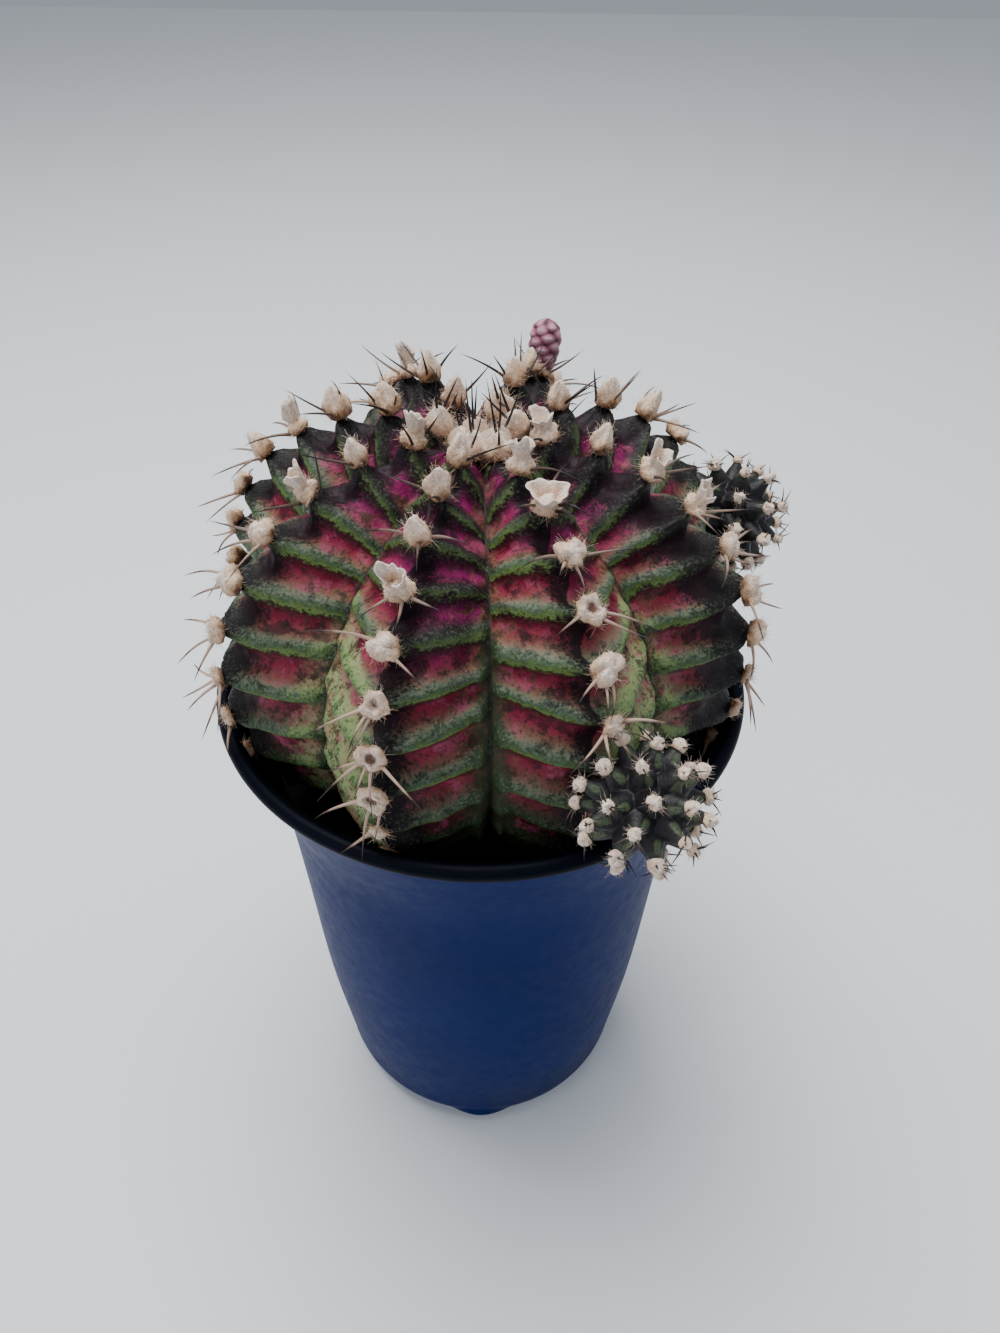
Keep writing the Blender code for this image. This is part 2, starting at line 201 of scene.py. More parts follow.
def curve_through(knots, count):
    """A smooth line of count points through the knots: Catmull-Rom cubics, evenly spaced by length."""
    knots = np.asarray(knots, float)
    padded = np.vstack([2 * knots[0] - knots[1], knots, 2 * knots[-1] - knots[-2]])
    t = np.linspace(0, 1, 24, endpoint=False)[:, None]
    pieces = []
    for a, b, c, d in zip(padded, padded[1:], padded[2:], padded[3:]):
        squared, cubed = 2 * a - 5 * b + 4 * c - d, 3 * b - a - 3 * c + d
        pieces.append(0.5 * (2 * b + (c - a) * t + squared * t**2 + cubed * t**3))
    dense = np.vstack([*pieces, knots[-1:]])
    length = np.concatenate([[0], np.cumsum(np.linalg.norm(np.diff(dense, axis=0), axis=1))])
    wanted = np.linspace(0, length[-1], count)
    return np.stack([np.interp(wanted, length, dense[:, k]) for k in range(knots.shape[1])], -1)


POT_SIDES = 180
WALL = 1.1 * MM
RIM_RADIUS, RIM_ROLL = 42.5 * MM, 1.35 * MM
DRAIN_HOLES, DRAIN_RADIUS, DRAIN_RING = 5, 3.2 * MM, 15.0 * MM
DRILL_SIDES, DRILL_FROM, DRILL_TO = 32, -3 * MM, 5 * MM
LUG_COUNT, LUG_HALF_WIDTH, LUG_HEIGHT, LUG_DEPTH = 4, 6.5 * MM, 2.4 * MM, 1.6 * MM
FOOT_RADIUS, CORNER = 29.3 * MM, 8.0 * MM
FLOOR_RING = 0.4 * FOOT_RADIUS

corner_turn = np.radians(np.linspace(2, 90, 14))
corner_radius = FOOT_RADIUS - CORNER + CORNER * np.sin(corner_turn)
corner = np.stack([corner_radius, CORNER * (1 - np.cos(corner_turn))], -1)
wall = curve_through(
    [
        (FOOT_RADIUS, CORNER),
        (31.9 * MM, 0.31 * rim_top),
        (33.6 * MM, 0.60 * rim_top),
        (34.9 * MM, 0.77 * rim_top),
        (37.2 * MM, 0.87 * rim_top),
        (40.4 * MM, 0.965 * rim_top),
    ],
    40,
)[1:]
outside = np.vstack([corner, wall])
slope = np.gradient(outside, axis=0)
slope /= np.linalg.norm(slope, axis=1, keepdims=True)
inside = outside + WALL * np.stack([-slope[:, 1], slope[:, 0]], -1)
roll_turn = np.radians(np.linspace(-70, 160, 16))
roll_middle = np.array([RIM_RADIUS - RIM_ROLL, rim_top - RIM_ROLL])
roll = roll_middle + RIM_ROLL * np.stack([np.cos(roll_turn), np.sin(roll_turn)], -1)
pot_profile = np.vstack([[(FLOOR_RING, 0)], outside, roll, inside[::-1], [(FLOOR_RING, WALL)]])
# The lugs are swellings of the lower wall, round in outline and evenly spaced; one faces the front.
pot_turn = 2 * np.pi * (np.arange(POT_SIDES) + 0.5) / POT_SIDES
apart = (pot_turn + np.pi / 2 + np.pi / LUG_COUNT) % (2 * np.pi / LUG_COUNT) - np.pi / LUG_COUNT
across = np.clip(1 - (apart * FOOT_RADIUS / LUG_HALF_WIDTH) ** 2, 0, None)
up = np.clip(1 - ((outside[:, 1] - LUG_HEIGHT) / LUG_HEIGHT) ** 2, 0, None)
lugs = np.zeros((len(pot_profile), POT_SIDES))
lugs[1 : 1 + len(outside)] = LUG_DEPTH * up[:, None] * across
pot_points = turned_points(pot_profile, POT_SIDES, lugs)
pot_points = np.vstack([pot_points.reshape(-1, 3), [(0, 0, 0), (0, 0, WALL)]])

plastic, tree, shader = new_material("moulded_navy_polypropylene")
# Polypropylene, injection moulded: a soft satin gloss with faint flow ripples, fine scuffs that
# catch the light, and a dry film of soil dust low on the wall. The inside wall is painted nearly
# black, a painted shade within the pot.
# A noise's scale is one over the size of its patches in metres: clouds 24 mm wide, scuffs 2.4 mm.
pot_place = add_node(tree, "TexCoord", out="Object")
upright = add_node(tree, "SeparateXYZ", {0: pot_place}, out="Z")
sideways = add_node(tree, "VectorMath", {0: pot_place, 1: (1, 1, 0)}, operation="MULTIPLY")
sideways = add_node(tree, "VectorMath", {0: sideways}, operation="NORMALIZE")
facing = add_node(tree, "TexCoord", out="Normal")
facing = add_node(tree, "VectorMath", {0: facing, 1: sideways}, out="Value", operation="DOT_PRODUCT")
scuff = add_node(tree, "TexNoise", {"Vector": pot_place, "Scale": 420.0, "Detail": 5.0, "Roughness": 0.7})
cloud = add_node(tree, "TexNoise", {"Vector": pot_place, "Scale": 42.0, "Detail": 4.0})
tone = add_node(tree, "Mix", {0: cloud, 6: "#04144a", 7: "#08225c"}, out=2, data_type="RGBA")
limits = {0: upright, 1: rim_top - 6.0 * MM, 2: rim_top - 3.0 * MM}
near_rim = add_node(tree, "MapRange", limits, interpolation_type="SMOOTHSTEP")
tone = add_node(tree, "Mix", {0: near_rim, 6: tone, 7: "#080b16"}, out=2, data_type="RGBA")
# Painted shade: the inward-facing wall is darkened to near black.
inner_wall_shade = add_node(tree, "MapRange", {0: facing, 1: 0.05, 2: -0.25})
tone = add_node(tree, "Mix", {0: inner_wall_shade, 6: tone, 7: "#03050b"}, out=2, data_type="RGBA")
low_down = add_node(tree, "MapRange", {0: upright, 1: 0.022, 2: 0.0, 3: 0.0, 4: 0.5})
patchy = add_node(tree, "MapRange", {0: cloud, 1: 0.48, 2: 0.66, 4: low_down})
tone = add_node(tree, "Mix", {0: patchy, 6: tone, 7: "#3d3a38"}, out=2, data_type="RGBA")
gloss = add_node(tree, "MapRange", {0: scuff, 1: 0.3, 2: 0.75, 3: 0.36, 4: 0.52})
flow = add_node(tree, "Mix", {0: 0.25, 2: cloud, 3: scuff})
flow = add_node(tree, "Bump", {"Height": flow, "Strength": 0.22, "Distance": 0.0004})
set_inputs(tree, shader, {"Base Color": tone, "Roughness": gloss, "Normal": flow})
set_inputs(tree, shader, {"IOR": 1.49, "Specular IOR Level": 0.04})

pot = make_mesh("pot_shell", pot_points, closed_faces(len(pot_profile), POT_SIDES), plastic)
drill_profile = np.array([(DRAIN_RADIUS, DRILL_FROM), (DRAIN_RADIUS, DRILL_TO)])
drill_points = turned_points(drill_profile, DRILL_SIDES).reshape(-1, 3)
drill_points = np.vstack([drill_points, [(0, 0, DRILL_FROM), (0, 0, DRILL_TO)]])
for k in range(DRAIN_HOLES):
    hole_turn = 2 * math.pi * (k + 0.5) / DRAIN_HOLES
    hole_place = (DRAIN_RING * math.cos(hole_turn), DRAIN_RING * math.sin(hole_turn), 0)
    drill = make_mesh("drill", drill_points + hole_place, closed_faces(2, DRILL_SIDES), plastic)
    cut = pot.modifiers.new("drain", "BOOLEAN")
    cut.object, cut.operation = drill, "DIFFERENCE"
    drilled = bpy.data.meshes.new_from_object(pot.evaluated_get(bpy.context.evaluated_depsgraph_get()))
    pot.modifiers.remove(cut)
    pot.data = drilled
    bpy.data.objects.remove(drill, do_unlink=True)
pot.data.name = "pot_shell"
pot.data.shade_smooth()
pot.data.set_sharp_from_angle(angle=math.radians(50))
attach(pot, "root")
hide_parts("pot")


# ---------------------------------------------------------------- potting mix
# Loose potting mix of dark peat and bark fills the pot to some way below its rim. The bed is one
# body that fits the pot's inside; crumbs of many sizes lie loose on it round the stem.


def ripple(points, size, seed, waves=7):
    """Smooth noise from about -1 to 1 whose bumps are about the given size across: a sum of sine
    waves in random directions, each with a wavelength near twice the size."""
    draw = np.random.default_rng(seed)
    total = np.zeros(points.shape[:-1])
    for _ in range(waves):
        direction = draw.normal(size=3)
        direction *= math.pi * draw.uniform(0.6, 1.5) / (size * np.linalg.norm(direction))
        total += np.sin(points @ direction + draw.uniform(0, 2 * math.pi))
    return total / math.sqrt(waves)


SOIL_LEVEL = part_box("potting_mix")[1].z - 1.2 * MM
BED_SIDES, BED_RINGS = 200, 60
bed_side = inside[inside[:, 1] < SOIL_LEVEL - 2 * MM] + (-0.3 * MM, 0.3 * MM)
bed_edge = float(np.interp(SOIL_LEVEL, inside[:, 1], inside[:, 0])) - 0.35 * MM
bed_rings = np.linspace(bed_edge - 0.4 * MM, 3 * MM, BED_RINGS)
bed_top = np.stack([bed_rings, np.full(BED_RINGS, SOIL_LEVEL)], -1)
bed_profile = np.vstack([[(bed_side[0, 0] * 0.5, bed_side[0, 1])], bed_side, bed_top])
bed_points = turned_points(bed_profile, BED_SIDES)
lumps = 0.55 * ripple(bed_points, 3.2 * MM, 11) + 0.4 * ripple(bed_points, 1.2 * MM, 12)
lumps += 0.2 * ripple(bed_points, 0.5 * MM, 13)
is_top = np.zeros((len(bed_profile), 1))
is_top[-BED_RINGS:, 0] = np.clip((bed_edge - bed_rings) / (1.5 * MM), 0.15, 1)
bed_points[..., 2] += is_top * 0.8 * MM * lumps
centres = np.array([(0, 0, bed_side[0, 1]), (0, 0, SOIL_LEVEL)])
bed_points = np.vstack([bed_points.reshape(-1, 3), centres])

mix, tree, shader = new_material("peat_and_bark_mix")
# Peat and fine bark, damp: nearly black with brown and grey flecks, matt, and rough at 0.6 mm.
# Each crumb has a tone of its own, and patches 4 mm wide are damper than others.
mix_place = add_node(tree, "TexCoord", out="Object")
grain = add_node(tree, "TexNoise", {"Vector": mix_place, "Scale": 1600.0, "Detail": 6.0, "Roughness": 0.7})
patch = add_node(tree, "TexNoise", {"Vector": mix_place, "Scale": 260.0, "Detail": 3.0})
own_tone = add_node(tree, "Attribute", out="Fac", attribute_name="tone")
shade = add_node(tree, "Mix", {0: 0.5, 2: grain, 3: patch})
shade = add_node(tree, "Math", {0: shade, 1: own_tone}, operation="ADD")
stops = [(0.30, "#020204"), (0.52, "#050609"), (0.66, "#0c0b0d"), (0.85, "#1b1614"), (1.0, "#3c3530")]
browns = add_node(tree, "ValToRGB", {0: shade}, stops=stops)
lumpy = add_node(tree, "Bump", {"Height": grain, "Strength": 0.9, "Distance": 0.0005})
set_inputs(tree, shader, {"Base Color": browns, "Normal": lumpy})
set_inputs(tree, shader, {"Roughness": 0.9, "Specular IOR Level": 0.25})

bed_faces = closed_faces(len(bed_profile), BED_SIDES)
bed = make_mesh("potting_mix_bed", bed_points, bed_faces, mix, {"tone": np.zeros(len(bed_points))})
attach(bed, "root")
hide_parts("potting_mix")


CRUMB_RINGS, CRUMB_SIDES = 3, 4
CRUMB_POINTS = CRUMB_RINGS * CRUMB_SIDES + 2


def rough_crumbs(places, sizes, seed):
    """Points (m, CRUMB_POINTS, 3) of rough crumbs: each is a stretched, turned ball of three rings of
    four points and two ends, whose points are pushed in and out at random."""
    draw = np.random.default_rng(seed)
    polar = np.radians([90 - 48, 90, 90 + 48])[:, None]
    turn = np.radians(np.arange(CRUMB_SIDES) * 90.0)[None, :] + np.radians([0, 45, 0])[:, None]
    ring = np.sin(polar)
    ball = np.stack([ring * np.cos(turn), ring * np.sin(turn), np.cos(polar) + 0 * turn], -1)
    ball = np.vstack([ball.reshape(-1, 3), [(0, 0, 1), (0, 0, -1)]])
    count = len(places)
    rough = ball[None] * draw.uniform(0.72, 1.15, (count, CRUMB_POINTS, 1))
    rough = rough * draw.uniform(0.55, 1.0, (count, 1, 3))
    spin = np.linalg.qr(draw.normal(size=(count, 3, 3)))[0]
    spin *= np.sign(np.linalg.det(spin))[:, None, None]
    return np.einsum("mij,mpj->mpi", spin, rough) * sizes[:, None, None] + places[:, None, :]


def repeated(faces, count, size):
    """The faces of one shape of size points, repeated for count copies."""
    starts = (np.arange(count) * size)[:, None, None]
    return [(group[None] + starts).reshape(-1, group.shape[1]) for group in faces]


draw = np.random.default_rng(21)
CRUMBS = 1500
crumb_radius = np.sqrt(draw.uniform((15.0 * MM) ** 2, (bed_edge - 1.2 * MM) ** 2, CRUMBS))
crumb_turn = draw.uniform(0, 2 * math.pi, CRUMBS)
crumb_size = (0.30 + 0.9 * draw.random(CRUMBS) ** 3) * MM
crumb_height = SOIL_LEVEL + 0.35 * crumb_size + draw.uniform(-0.2, 0.5, CRUMBS) * MM
crumb_flat = crumb_radius * np.cos(crumb_turn), crumb_radius * np.sin(crumb_turn)
crumb_points = rough_crumbs(np.stack([*crumb_flat, crumb_height], -1), crumb_size, 22)
crumb_faces = repeated(closed_faces(CRUMB_RINGS, CRUMB_SIDES), CRUMBS, CRUMB_POINTS)
crumb_tone = np.repeat(draw.random(CRUMBS) ** 2 * 0.42 - 0.08, CRUMB_POINTS)
crumbs = make_mesh("potting_mix_crumbs", crumb_points, crumb_faces, mix, {"tone": crumb_tone})
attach(crumbs, "root")


# ---------------------------------------------------------------- stem
# The stem is one living globe with eight sharp ribs, which narrows to its neck in the potting mix.
# Every areole sits on a tooth of its rib's crest, and from it a rounded rung of tissue runs down
# each flank to the furrow; between the rungs the flank is hollow and coloured.

RIBS = np.radians([24, 70, 116, 160, 209, 254, 297, 340])
FIRST_AREOLES = np.array([12.7, 9.5, 12.6, 14.0, 9.5, 13.9, 10.6, 10.2]) * MM
AREOLE_PITCHES = np.array([7.2, 7.3, 7.8, 6.9, 7.5, 7.5, 7.7, 7.0]) * MM
CREST_RADIUS, CREST_CENTRE, CREST_RISE, CREST_FALL = (v * MM for v in (40.6, 10.0, 33.6, 36.0))
CREST_SQUARENESS, CREST_SAMPLES, CREST_LENGTH = 2.3, 1441, 117 * MM
CROWN_DIP, CROWN_DIP_RADIUS = 4.5 * MM, 8.0 * MM
FURROW_RADIUS, FURROW_CENTRE = 33.0 * MM, 7.0 * MM
FURROW_LEAD, NECK_DRAW = math.radians(8.0), 1.6
FLANK_COLUMNS, STEM_ROWS, BURIED_ROWS = 19, 318, 12
RUNG_HEIGHT, HOLLOW_DEPTH, NOTCH_DEPTH, CHIN_HEIGHT = 1.45 * MM, 0.55 * MM, 3.1 * MM, 0.8 * MM
KNOT_HEIGHT, CREASE_DEPTH, CREST_SWAY = 0.75 * MM, 0.35 * MM, 0.7 * MM


def bell(x, width):
    """1 where x is 0, falling off on either side as exp(-(x / width) ** 2)."""
    return np.exp(-((x / width) ** 2))


def crest_line(angle):
    """(radius, height above the rim) of a crest, for an angle from -90 degrees at the root to 90 at the
    crown: above its widest level an ellipse squared off by the power 2 / CREST_SQUARENESS, less a
    bell-shaped dip at the crown, and below it a plain ellipse."""
    power = 2 / CREST_SQUARENESS
    cosine, sine = np.clip(np.cos(angle), 0, None), np.sin(angle)
    radius = CREST_RADIUS * np.where(angle > 0, cosine**power, cosine)
    dip = CROWN_DIP * bell(radius, CROWN_DIP_RADIUS)
    upper = CREST_CENTRE + CREST_RISE * np.abs(sine) ** power - dip
    return np.stack([radius, np.where(angle > 0, upper, CREST_CENTRE + CREST_FALL * sine)], -1)


def furrow_line(angle):
    """(radius, height above the rim) of a furrow: an ellipse that meets the crests at the crown and the
    root; below the widest level the cosine is raised to a power, which draws it in to the neck."""
    ends = crest_line(np.array([math.pi / 2, -math.pi / 2]))[:, 1]
    led = np.where(angle > 0, angle + FURROW_LEAD * np.sin(2 * angle), angle)
    rise = np.where(angle > 0, ends[0] - FURROW_CENTRE, FURROW_CENTRE - ends[1])
    cosine = np.clip(np.cos(led), 0, None)
    radius = FURROW_RADIUS * np.where(angle > 0, cosine, cosine**NECK_DRAW)
    return np.stack([radius, FURROW_CENTRE + rise * np.sin(led)], -1)


def outward_of(track):
    """Outward unit normals of a (radius, height) line that runs from the crown to the root."""
    along = np.gradient(track, axis=0)
    along /= np.linalg.norm(along, axis=1, keepdims=True)
    return np.stack([-along[:, 1], along[:, 0]], -1)


def smooth_step(low, high, x):
    """0 below low, 1 above high, and a smooth S between. With low above high it falls instead."""
    t = np.clip((x - low) / (high - low), 0, 1)
    return t * t * (3 - 2 * t)


crest_angles = np.linspace(math.pi / 2, -math.pi / 2, CREST_SAMPLES)
crest_track, furrow_track = crest_line(crest_angles), furrow_line(crest_angles)
crest_steps = np.linalg.norm(np.diff(crest_track, axis=0), axis=1)
crest_lengths = np.concatenate([[0], np.cumsum(crest_steps)])
# One table: crest point, furrow point, crest outward direction, furrow outward direction.
stem_table = np.hstack([crest_track, furrow_track, outward_of(crest_track), outward_of(furrow_track)])

# How much further along the crest a rung has got when it reaches the furrow: it runs rootward high
# on the stem and back crownward low on it.
RUNG_LENGTHS = np.array([0, 14, 22, 30, 37, 43, 50, 60, 80, 117]) * MM
RUNG_LEADS = np.array([6, 11, 8.5, 5, 1.5, 0, -3.5, -5.4, -6.5, 0]) * MM
shares = np.linspace(0, 1, FLANK_COLUMNS)
lead_grid = np.linspace(0, CREST_LENGTH, 600)
lead_levels = lead_grid + shares[:, None] * np.interp(lead_grid, RUNG_LENGTHS, RUNG_LEADS)


def rung_sources(lengths, share):
    """The crest length from which the rung that passes a level at a share of the flank set out: the
    table of levels is read backwards for the shares on either side, and the two are blended."""
    step = np.clip(share * (FLANK_COLUMNS - 1), 0, FLANK_COLUMNS - 1)
    found = np.zeros(lengths.shape)
    for k in range(FLANK_COLUMNS):
        found += np.clip(1 - np.abs(step - k), 0, 1) * np.interp(lengths, lead_levels[k], lead_grid)
    return found


def stem_surface(lengths, rib, share, side):
    """Points of the stem, their outward directions and their rung phase, for arrays that broadcast.

    lengths is the distance down the crest of the level, rib the number of the nearest rib, share the
    distance from its crest, 0, to the furrow, 1, and side is 1 towards the next rib and -1 towards
    the one before. The height above the furrow falls off as (1 - share) ** 1.3, so flanks are hollow
    and crests sharp. The phase is whole at each areole, and rung is its distance from the nearest
    whole number. Along the outward direction come the rungs, bells of rung with a hollow beside
    them, the notches between the crest's teeth, 1 - (1 - 2 * rung) ** 1.8 deep, a small chin on
    each tooth, a knotty column beside the furrow, and the crease in it. Crests sway from side to
    side with the phase.
    """
    lengths, rib, share, side = np.broadcast_arrays(lengths, rib, share, side)
    row = np.stack([np.interp(lengths, crest_lengths, column) for column in stem_table.T], -1)
    crest, furrow, crest_out, furrow_out = row[..., 0:2], row[..., 2:4], row[..., 4:6], row[..., 6:8]

    phase = (rung_sources(lengths, share) - FIRST_AREOLES[rib]) / AREOLE_PITCHES[rib]
    phase = phase + 0.06 * np.sin(1.7 * phase + 2.1 * rib + 1.3 * side) * share
    rung = phase - np.round(phase)

    standing = smooth_step(3.5 * MM, 15 * MM, lengths) * smooth_step(110 * MM, 88 * MM, lengths)
    strength = 1 + 0.22 * np.sin(2.3 * np.round(phase) + 1.9 * rib + side)
    ridge = np.where(rung < 0, bell(rung, 0.25), bell(rung, 0.155))
    hollow = bell(rung - 0.30, 0.12) + 0.5 * bell(np.abs(rung) - 0.5, 0.15)
    on_flank = smooth_step(0.02, 0.24, share) * (1 - smooth_step(0.74, 1.0, share))
    bump = on_flank * strength * (RUNG_HEIGHT * ridge - HOLLOW_DEPTH * hollow)
    notch = 1 - (1 - 2 * np.abs((rung + 0.48) % 1 - 0.5)) ** 1.8
    bump = bump - NOTCH_DEPTH * notch * bell(share, 0.24)
    bump = bump + CHIN_HEIGHT * bell(rung, 0.18) * bell(share, 0.15)
    # The furrow at the front has the boldest column.
    boldness = np.where((rib == 7) & (side > 0) | (rib == 0) & (side < 0), 1.0, 0.35)
    knotted = bell(share - 0.90, 0.06) * smooth_step(34 * MM, 44 * MM, lengths)
    bump = bump + KNOT_HEIGHT * boldness * knotted * (1 + 1.2 * np.cos(2 * math.pi * rung))
    bump = bump - CREASE_DEPTH * bell(1 - share, 0.035)
    bump = bump * standing

    soft = (np.sqrt(share**2 + 0.05**2) - 0.05) / (math.sqrt(1 + 0.05**2) - 0.05)
    out = crest_out * (1 - share)[..., None] + furrow_out * share[..., None]
    out = out / np.linalg.norm(out, axis=-1, keepdims=True)
    spot = furrow + (crest - furrow) * ((1 - soft) ** 1.3)[..., None] + out * bump[..., None]

    step = (RIBS[(rib + side) % 8] - RIBS[rib] + math.pi) % (2 * math.pi) - math.pi
    sway = CREST_SWAY * np.sin(2 * math.pi * phase + rib) * bell(share, 0.20) * standing
    direction = RIBS[rib] + 0.5 * step * share + sway / np.maximum(spot[..., 0], 6 * MM)
    radius = np.maximum(spot[..., 0], 0.05 * MM)
    facing = np.stack([np.sin(direction), -np.cos(direction)], -1)
    points = np.concatenate([facing * radius[..., None], (rim_top + spot[..., 1])[..., None]], -1)
    tilt = np.concatenate([facing * out[..., :1], out[..., 1:]], -1)
    return points, tilt, phase


# Rows run from the crown to the root, closely spaced down to the mix and coarse where it buries them.
# Columns run from each rib's crest to the furrow and on up to the next crest, which isn't repeated.
shown_rows = np.linspace(0.5, 94, STEM_ROWS - BURIED_ROWS)
row_lengths = np.concatenate([shown_rows, np.linspace(96, 116, BURIED_ROWS)]) * MM
sides = np.repeat([1, -1], [FLANK_COLUMNS, FLANK_COLUMNS - 2])
column_rib = np.concatenate([np.where(sides > 0, rib, (rib + 1) % 8) for rib in range(8)])
column_share = np.tile(np.append(shares, shares[-2:0:-1]), 8)
column_side = np.tile(sides, 8)
stem_points, stem_out, phase = stem_surface(row_lengths[:, None], column_rib, column_share, column_side)
swell = 0.20 * ripple(stem_points, 3.5 * MM, 31) + 0.09 * ripple(stem_points, 1.3 * MM, 32)
stem_points = stem_points + stem_out * (swell * MM)[..., None]

# Where each colour lies. The rung's cosine and sine give the place on a rung or in the hollow under
# it. The other zones, but for the share of the flank, are 0.5 at their border and higher inside it.
# Age is 0 at the crown and a little over 1 at the root. The tables give each rib's two flanks, the
# one before it and the one after: the age at which magenta ends, in hundredths; the dark crest's
# width, in tenths of the usual; and the share of the flank from which it is pale, in tenths.
age = np.broadcast_to(row_lengths[:, None] / (100 * MM), phase.shape)
share = np.broadcast_to(column_share, phase.shape)
flank = (column_rib, (column_side + 1) // 2)
on_rung = 0.5 + 0.5 * np.cos(2 * np.pi * phase)
MAGENTA_END = [(24, 30), (33, 30), (34, 36), (40, 40), (38, 36), (33, 30), (30, 28), (30, 41)]
DARK_CREST = [(9, 0), (17, 12), (12, 12), (12, 12), (12, 12), (12, 12), (12, 8), (0, 9)]
PALE_FROM = [(16, 3), (8, 14), (14, 14), (15, 15), (15, 14), (13, 12), (11, 8), (3, 16)]
magenta_end = np.array(MAGENTA_END)[flank] / 100
dark_crest = np.array(DARK_CREST)[flank] / 10
pale_from = np.array(PALE_FROM)[flank] / 10
dark_to = np.interp(age, [0.1, 0.3, 0.5, 0.8], [0.46, 0.32, 0.28, 0.50]) * dark_crest
green_from = np.interp(age, [0.34, 0.42, 0.60, 0.80], [1.15, 0.86, 0.80, 0.62])
pale_reach = 0.30 * on_rung * (pale_from < 0.5) + 1.1 * np.clip(age - 0.5, -0.2, 0.4)
dark = 0.5 + (dark_to - share - 0.06 * on_rung) / 0.30
pale = 0.5 + (share + pale_reach - pale_from) / 0.30
green = 0.5 + (share - green_from) / 0.14
zones = {
    "rung_cosine": np.cos(2 * np.pi * phase),
    "rung_sine": np.sin(2 * np.pi * phase),
    "middle": 0.5 + (age - magenta_end) / 0.14,
    "low": 0.5 + (age - 0.62) / 0.18,
    "dark": dark - 2.0 * (dark_crest == 0),
    "pale": pale - 3.0 * smooth_step(0.44, 0.34, age),
    "green": green - 0.8 * (pale_from < 1.5),
    # Painted shade along the furrow's crease.
    "furrow_crease_shade": 0.5 + (share - 0.968) / 0.035,
    "flank_share": share,
    "cork": 0.5 + (age - 0.865) / 0.05,
}
ends = crest_line(np.array([math.pi / 2, -math.pi / 2]))[:, 1]
stem_ends = np.array([(0, 0, rim_top + ends[0]), (0, 0, rim_top + ends[1])])
stem_values = {key: np.append(np.clip(value, -1, 2).ravel(), [0.0, 1.0]) for key, value in zones.items()}

skin, tree, shader = new_material("waxy_variegated_cactus_skin")
# Living epidermis under a thin wax bloom, satin. The rungs are frosted grey-green above, which is
# partly a painted sheen where the light catches them, and leaf green below, with a painted shadow
# line under each rung; the hollows are crimson to beige, magenta near the crown and black-purple
# towards the crests. Pigment cells of about 0.3 mm break up every border, drawn at 0.4 mm so that
# they show, with mottling of 1.25 mm, blotches of 2 mm, smudges of 3 mm and a slow drift of 5.5 mm.
skin_place = add_node(tree, "TexCoord", out="Object")
cells = add_node(tree, "TexNoise", {"Vector": skin_place, "Scale": 2500.0, "Detail": 2.0})
drift = add_node(tree, "TexNoise", {"Vector": skin_place, "Scale": 180.0, "Detail": 3.0})
mottle, blotch, smudge = (
    add_node(tree, "TexNoise", {"Vector": skin_place, "Scale": scale, "Detail": detail, "Roughness": rough})
    for scale, detail, rough in ((800.0, 4.0, 0.70), (520.0, 4.0, 0.60), (330.0, 5.0, 0.65))
)
speck = add_node(tree, "Mix", {0: 0.5, 2: cells, 3: mottle})
rung_cosine = add_node(tree, "Attribute", out="Fac", attribute_name="rung_cosine")
rung_sine = add_node(tree, "Attribute", out="Fac", attribute_name="rung_sine")
turn = add_node(tree, "Math", {0: rung_sine, 1: rung_cosine}, operation="ARCTAN2")
# The ramps below read 0.25 on a rung's ridge and 0.75 in the middle of the hollow under it. Two
# noises, whose middle is 0.5, shift them either way; the whole turn keeps the sum above 0.
BLOTCH_SHIFT, SPECK_SHIFT = 0.36, 0.40
ridge_at = 1.25 - 0.5 * (BLOTCH_SHIFT + SPECK_SHIFT)
wander = add_node(tree, "Math", {0: blotch, 1: BLOTCH_SHIFT, 2: ridge_at}, operation="MULTIPLY_ADD")
start = add_node(tree, "Math", {0: speck, 1: SPECK_SHIFT, 2: wander}, operation="MULTIPLY_ADD")
cycle = add_node(tree, "Math", {0: turn, 1: 1 / (2 * math.pi), 2: start}, operation="MULTIPLY_ADD")
cycle = add_node(tree, "Math", {0: cycle}, operation="FRACT")
# In the crown, middle and low bands the near-black stop just past the green is a painted shadow under each
# rung, and the dark crimson after it is the hollow's red darkened by painted shade.
CROWN_BAND = [
    (0.00, "#3a1a2c"), (0.08, "#2a2427"), (0.20, "#2f3329"), (0.30, "#526438"), (0.37, "#2a2418"),
    (0.45, "#3a0c28"), (0.58, "#78164e"), (0.74, "#8c1c5a"), (0.88, "#5e1e42"), (1.00, "#3a1a2c"),
]
MIDDLE_BAND = [
    (0.00, "#746450"), (0.07, "#5c6450"), (0.18, "#3b4c3a"), (0.26, "#4a6034"), (0.325, "#6a843e"),
    (0.39, "#36220f"), (0.45, "#4e0c1c"), (0.56, "#821634"), (0.70, "#882a3e"), (0.84, "#7c403c"),
    (0.93, "#745444"), (1.00, "#746450"),
]
LOW_BAND = [
    (0.00, "#362c20"), (0.10, "#303824"), (0.24, "#324224"), (0.33, "#46592c"), (0.40, "#17170d"),
    (0.46, "#1e060e"), (0.60, "#420c1a"), (0.78, "#501822"), (0.92, "#422a22"), (1.00, "#362c20"),
]
PALE_BAND = [
    (0.00, "#86905f"), (0.16, "#6c8350"), (0.30, "#56733e"), (0.38, "#4c643a"), (0.46, "#70694a"),
    (0.64, "#9c7462"), (0.84, "#8f9068"), (1.00, "#86905f"),
]
crown_band, middle_band, low_band, pale_band = (
    add_node(tree, "ValToRGB", {0: cycle}, stops=stops)
    for stops in (CROWN_BAND, MIDDLE_BAND, LOW_BAND, PALE_BAND)
)
valley = add_node(tree, "MapRange", {0: rung_cosine, 1: 0.35, 2: -0.30, 3: 0.0, 4: 0.75})
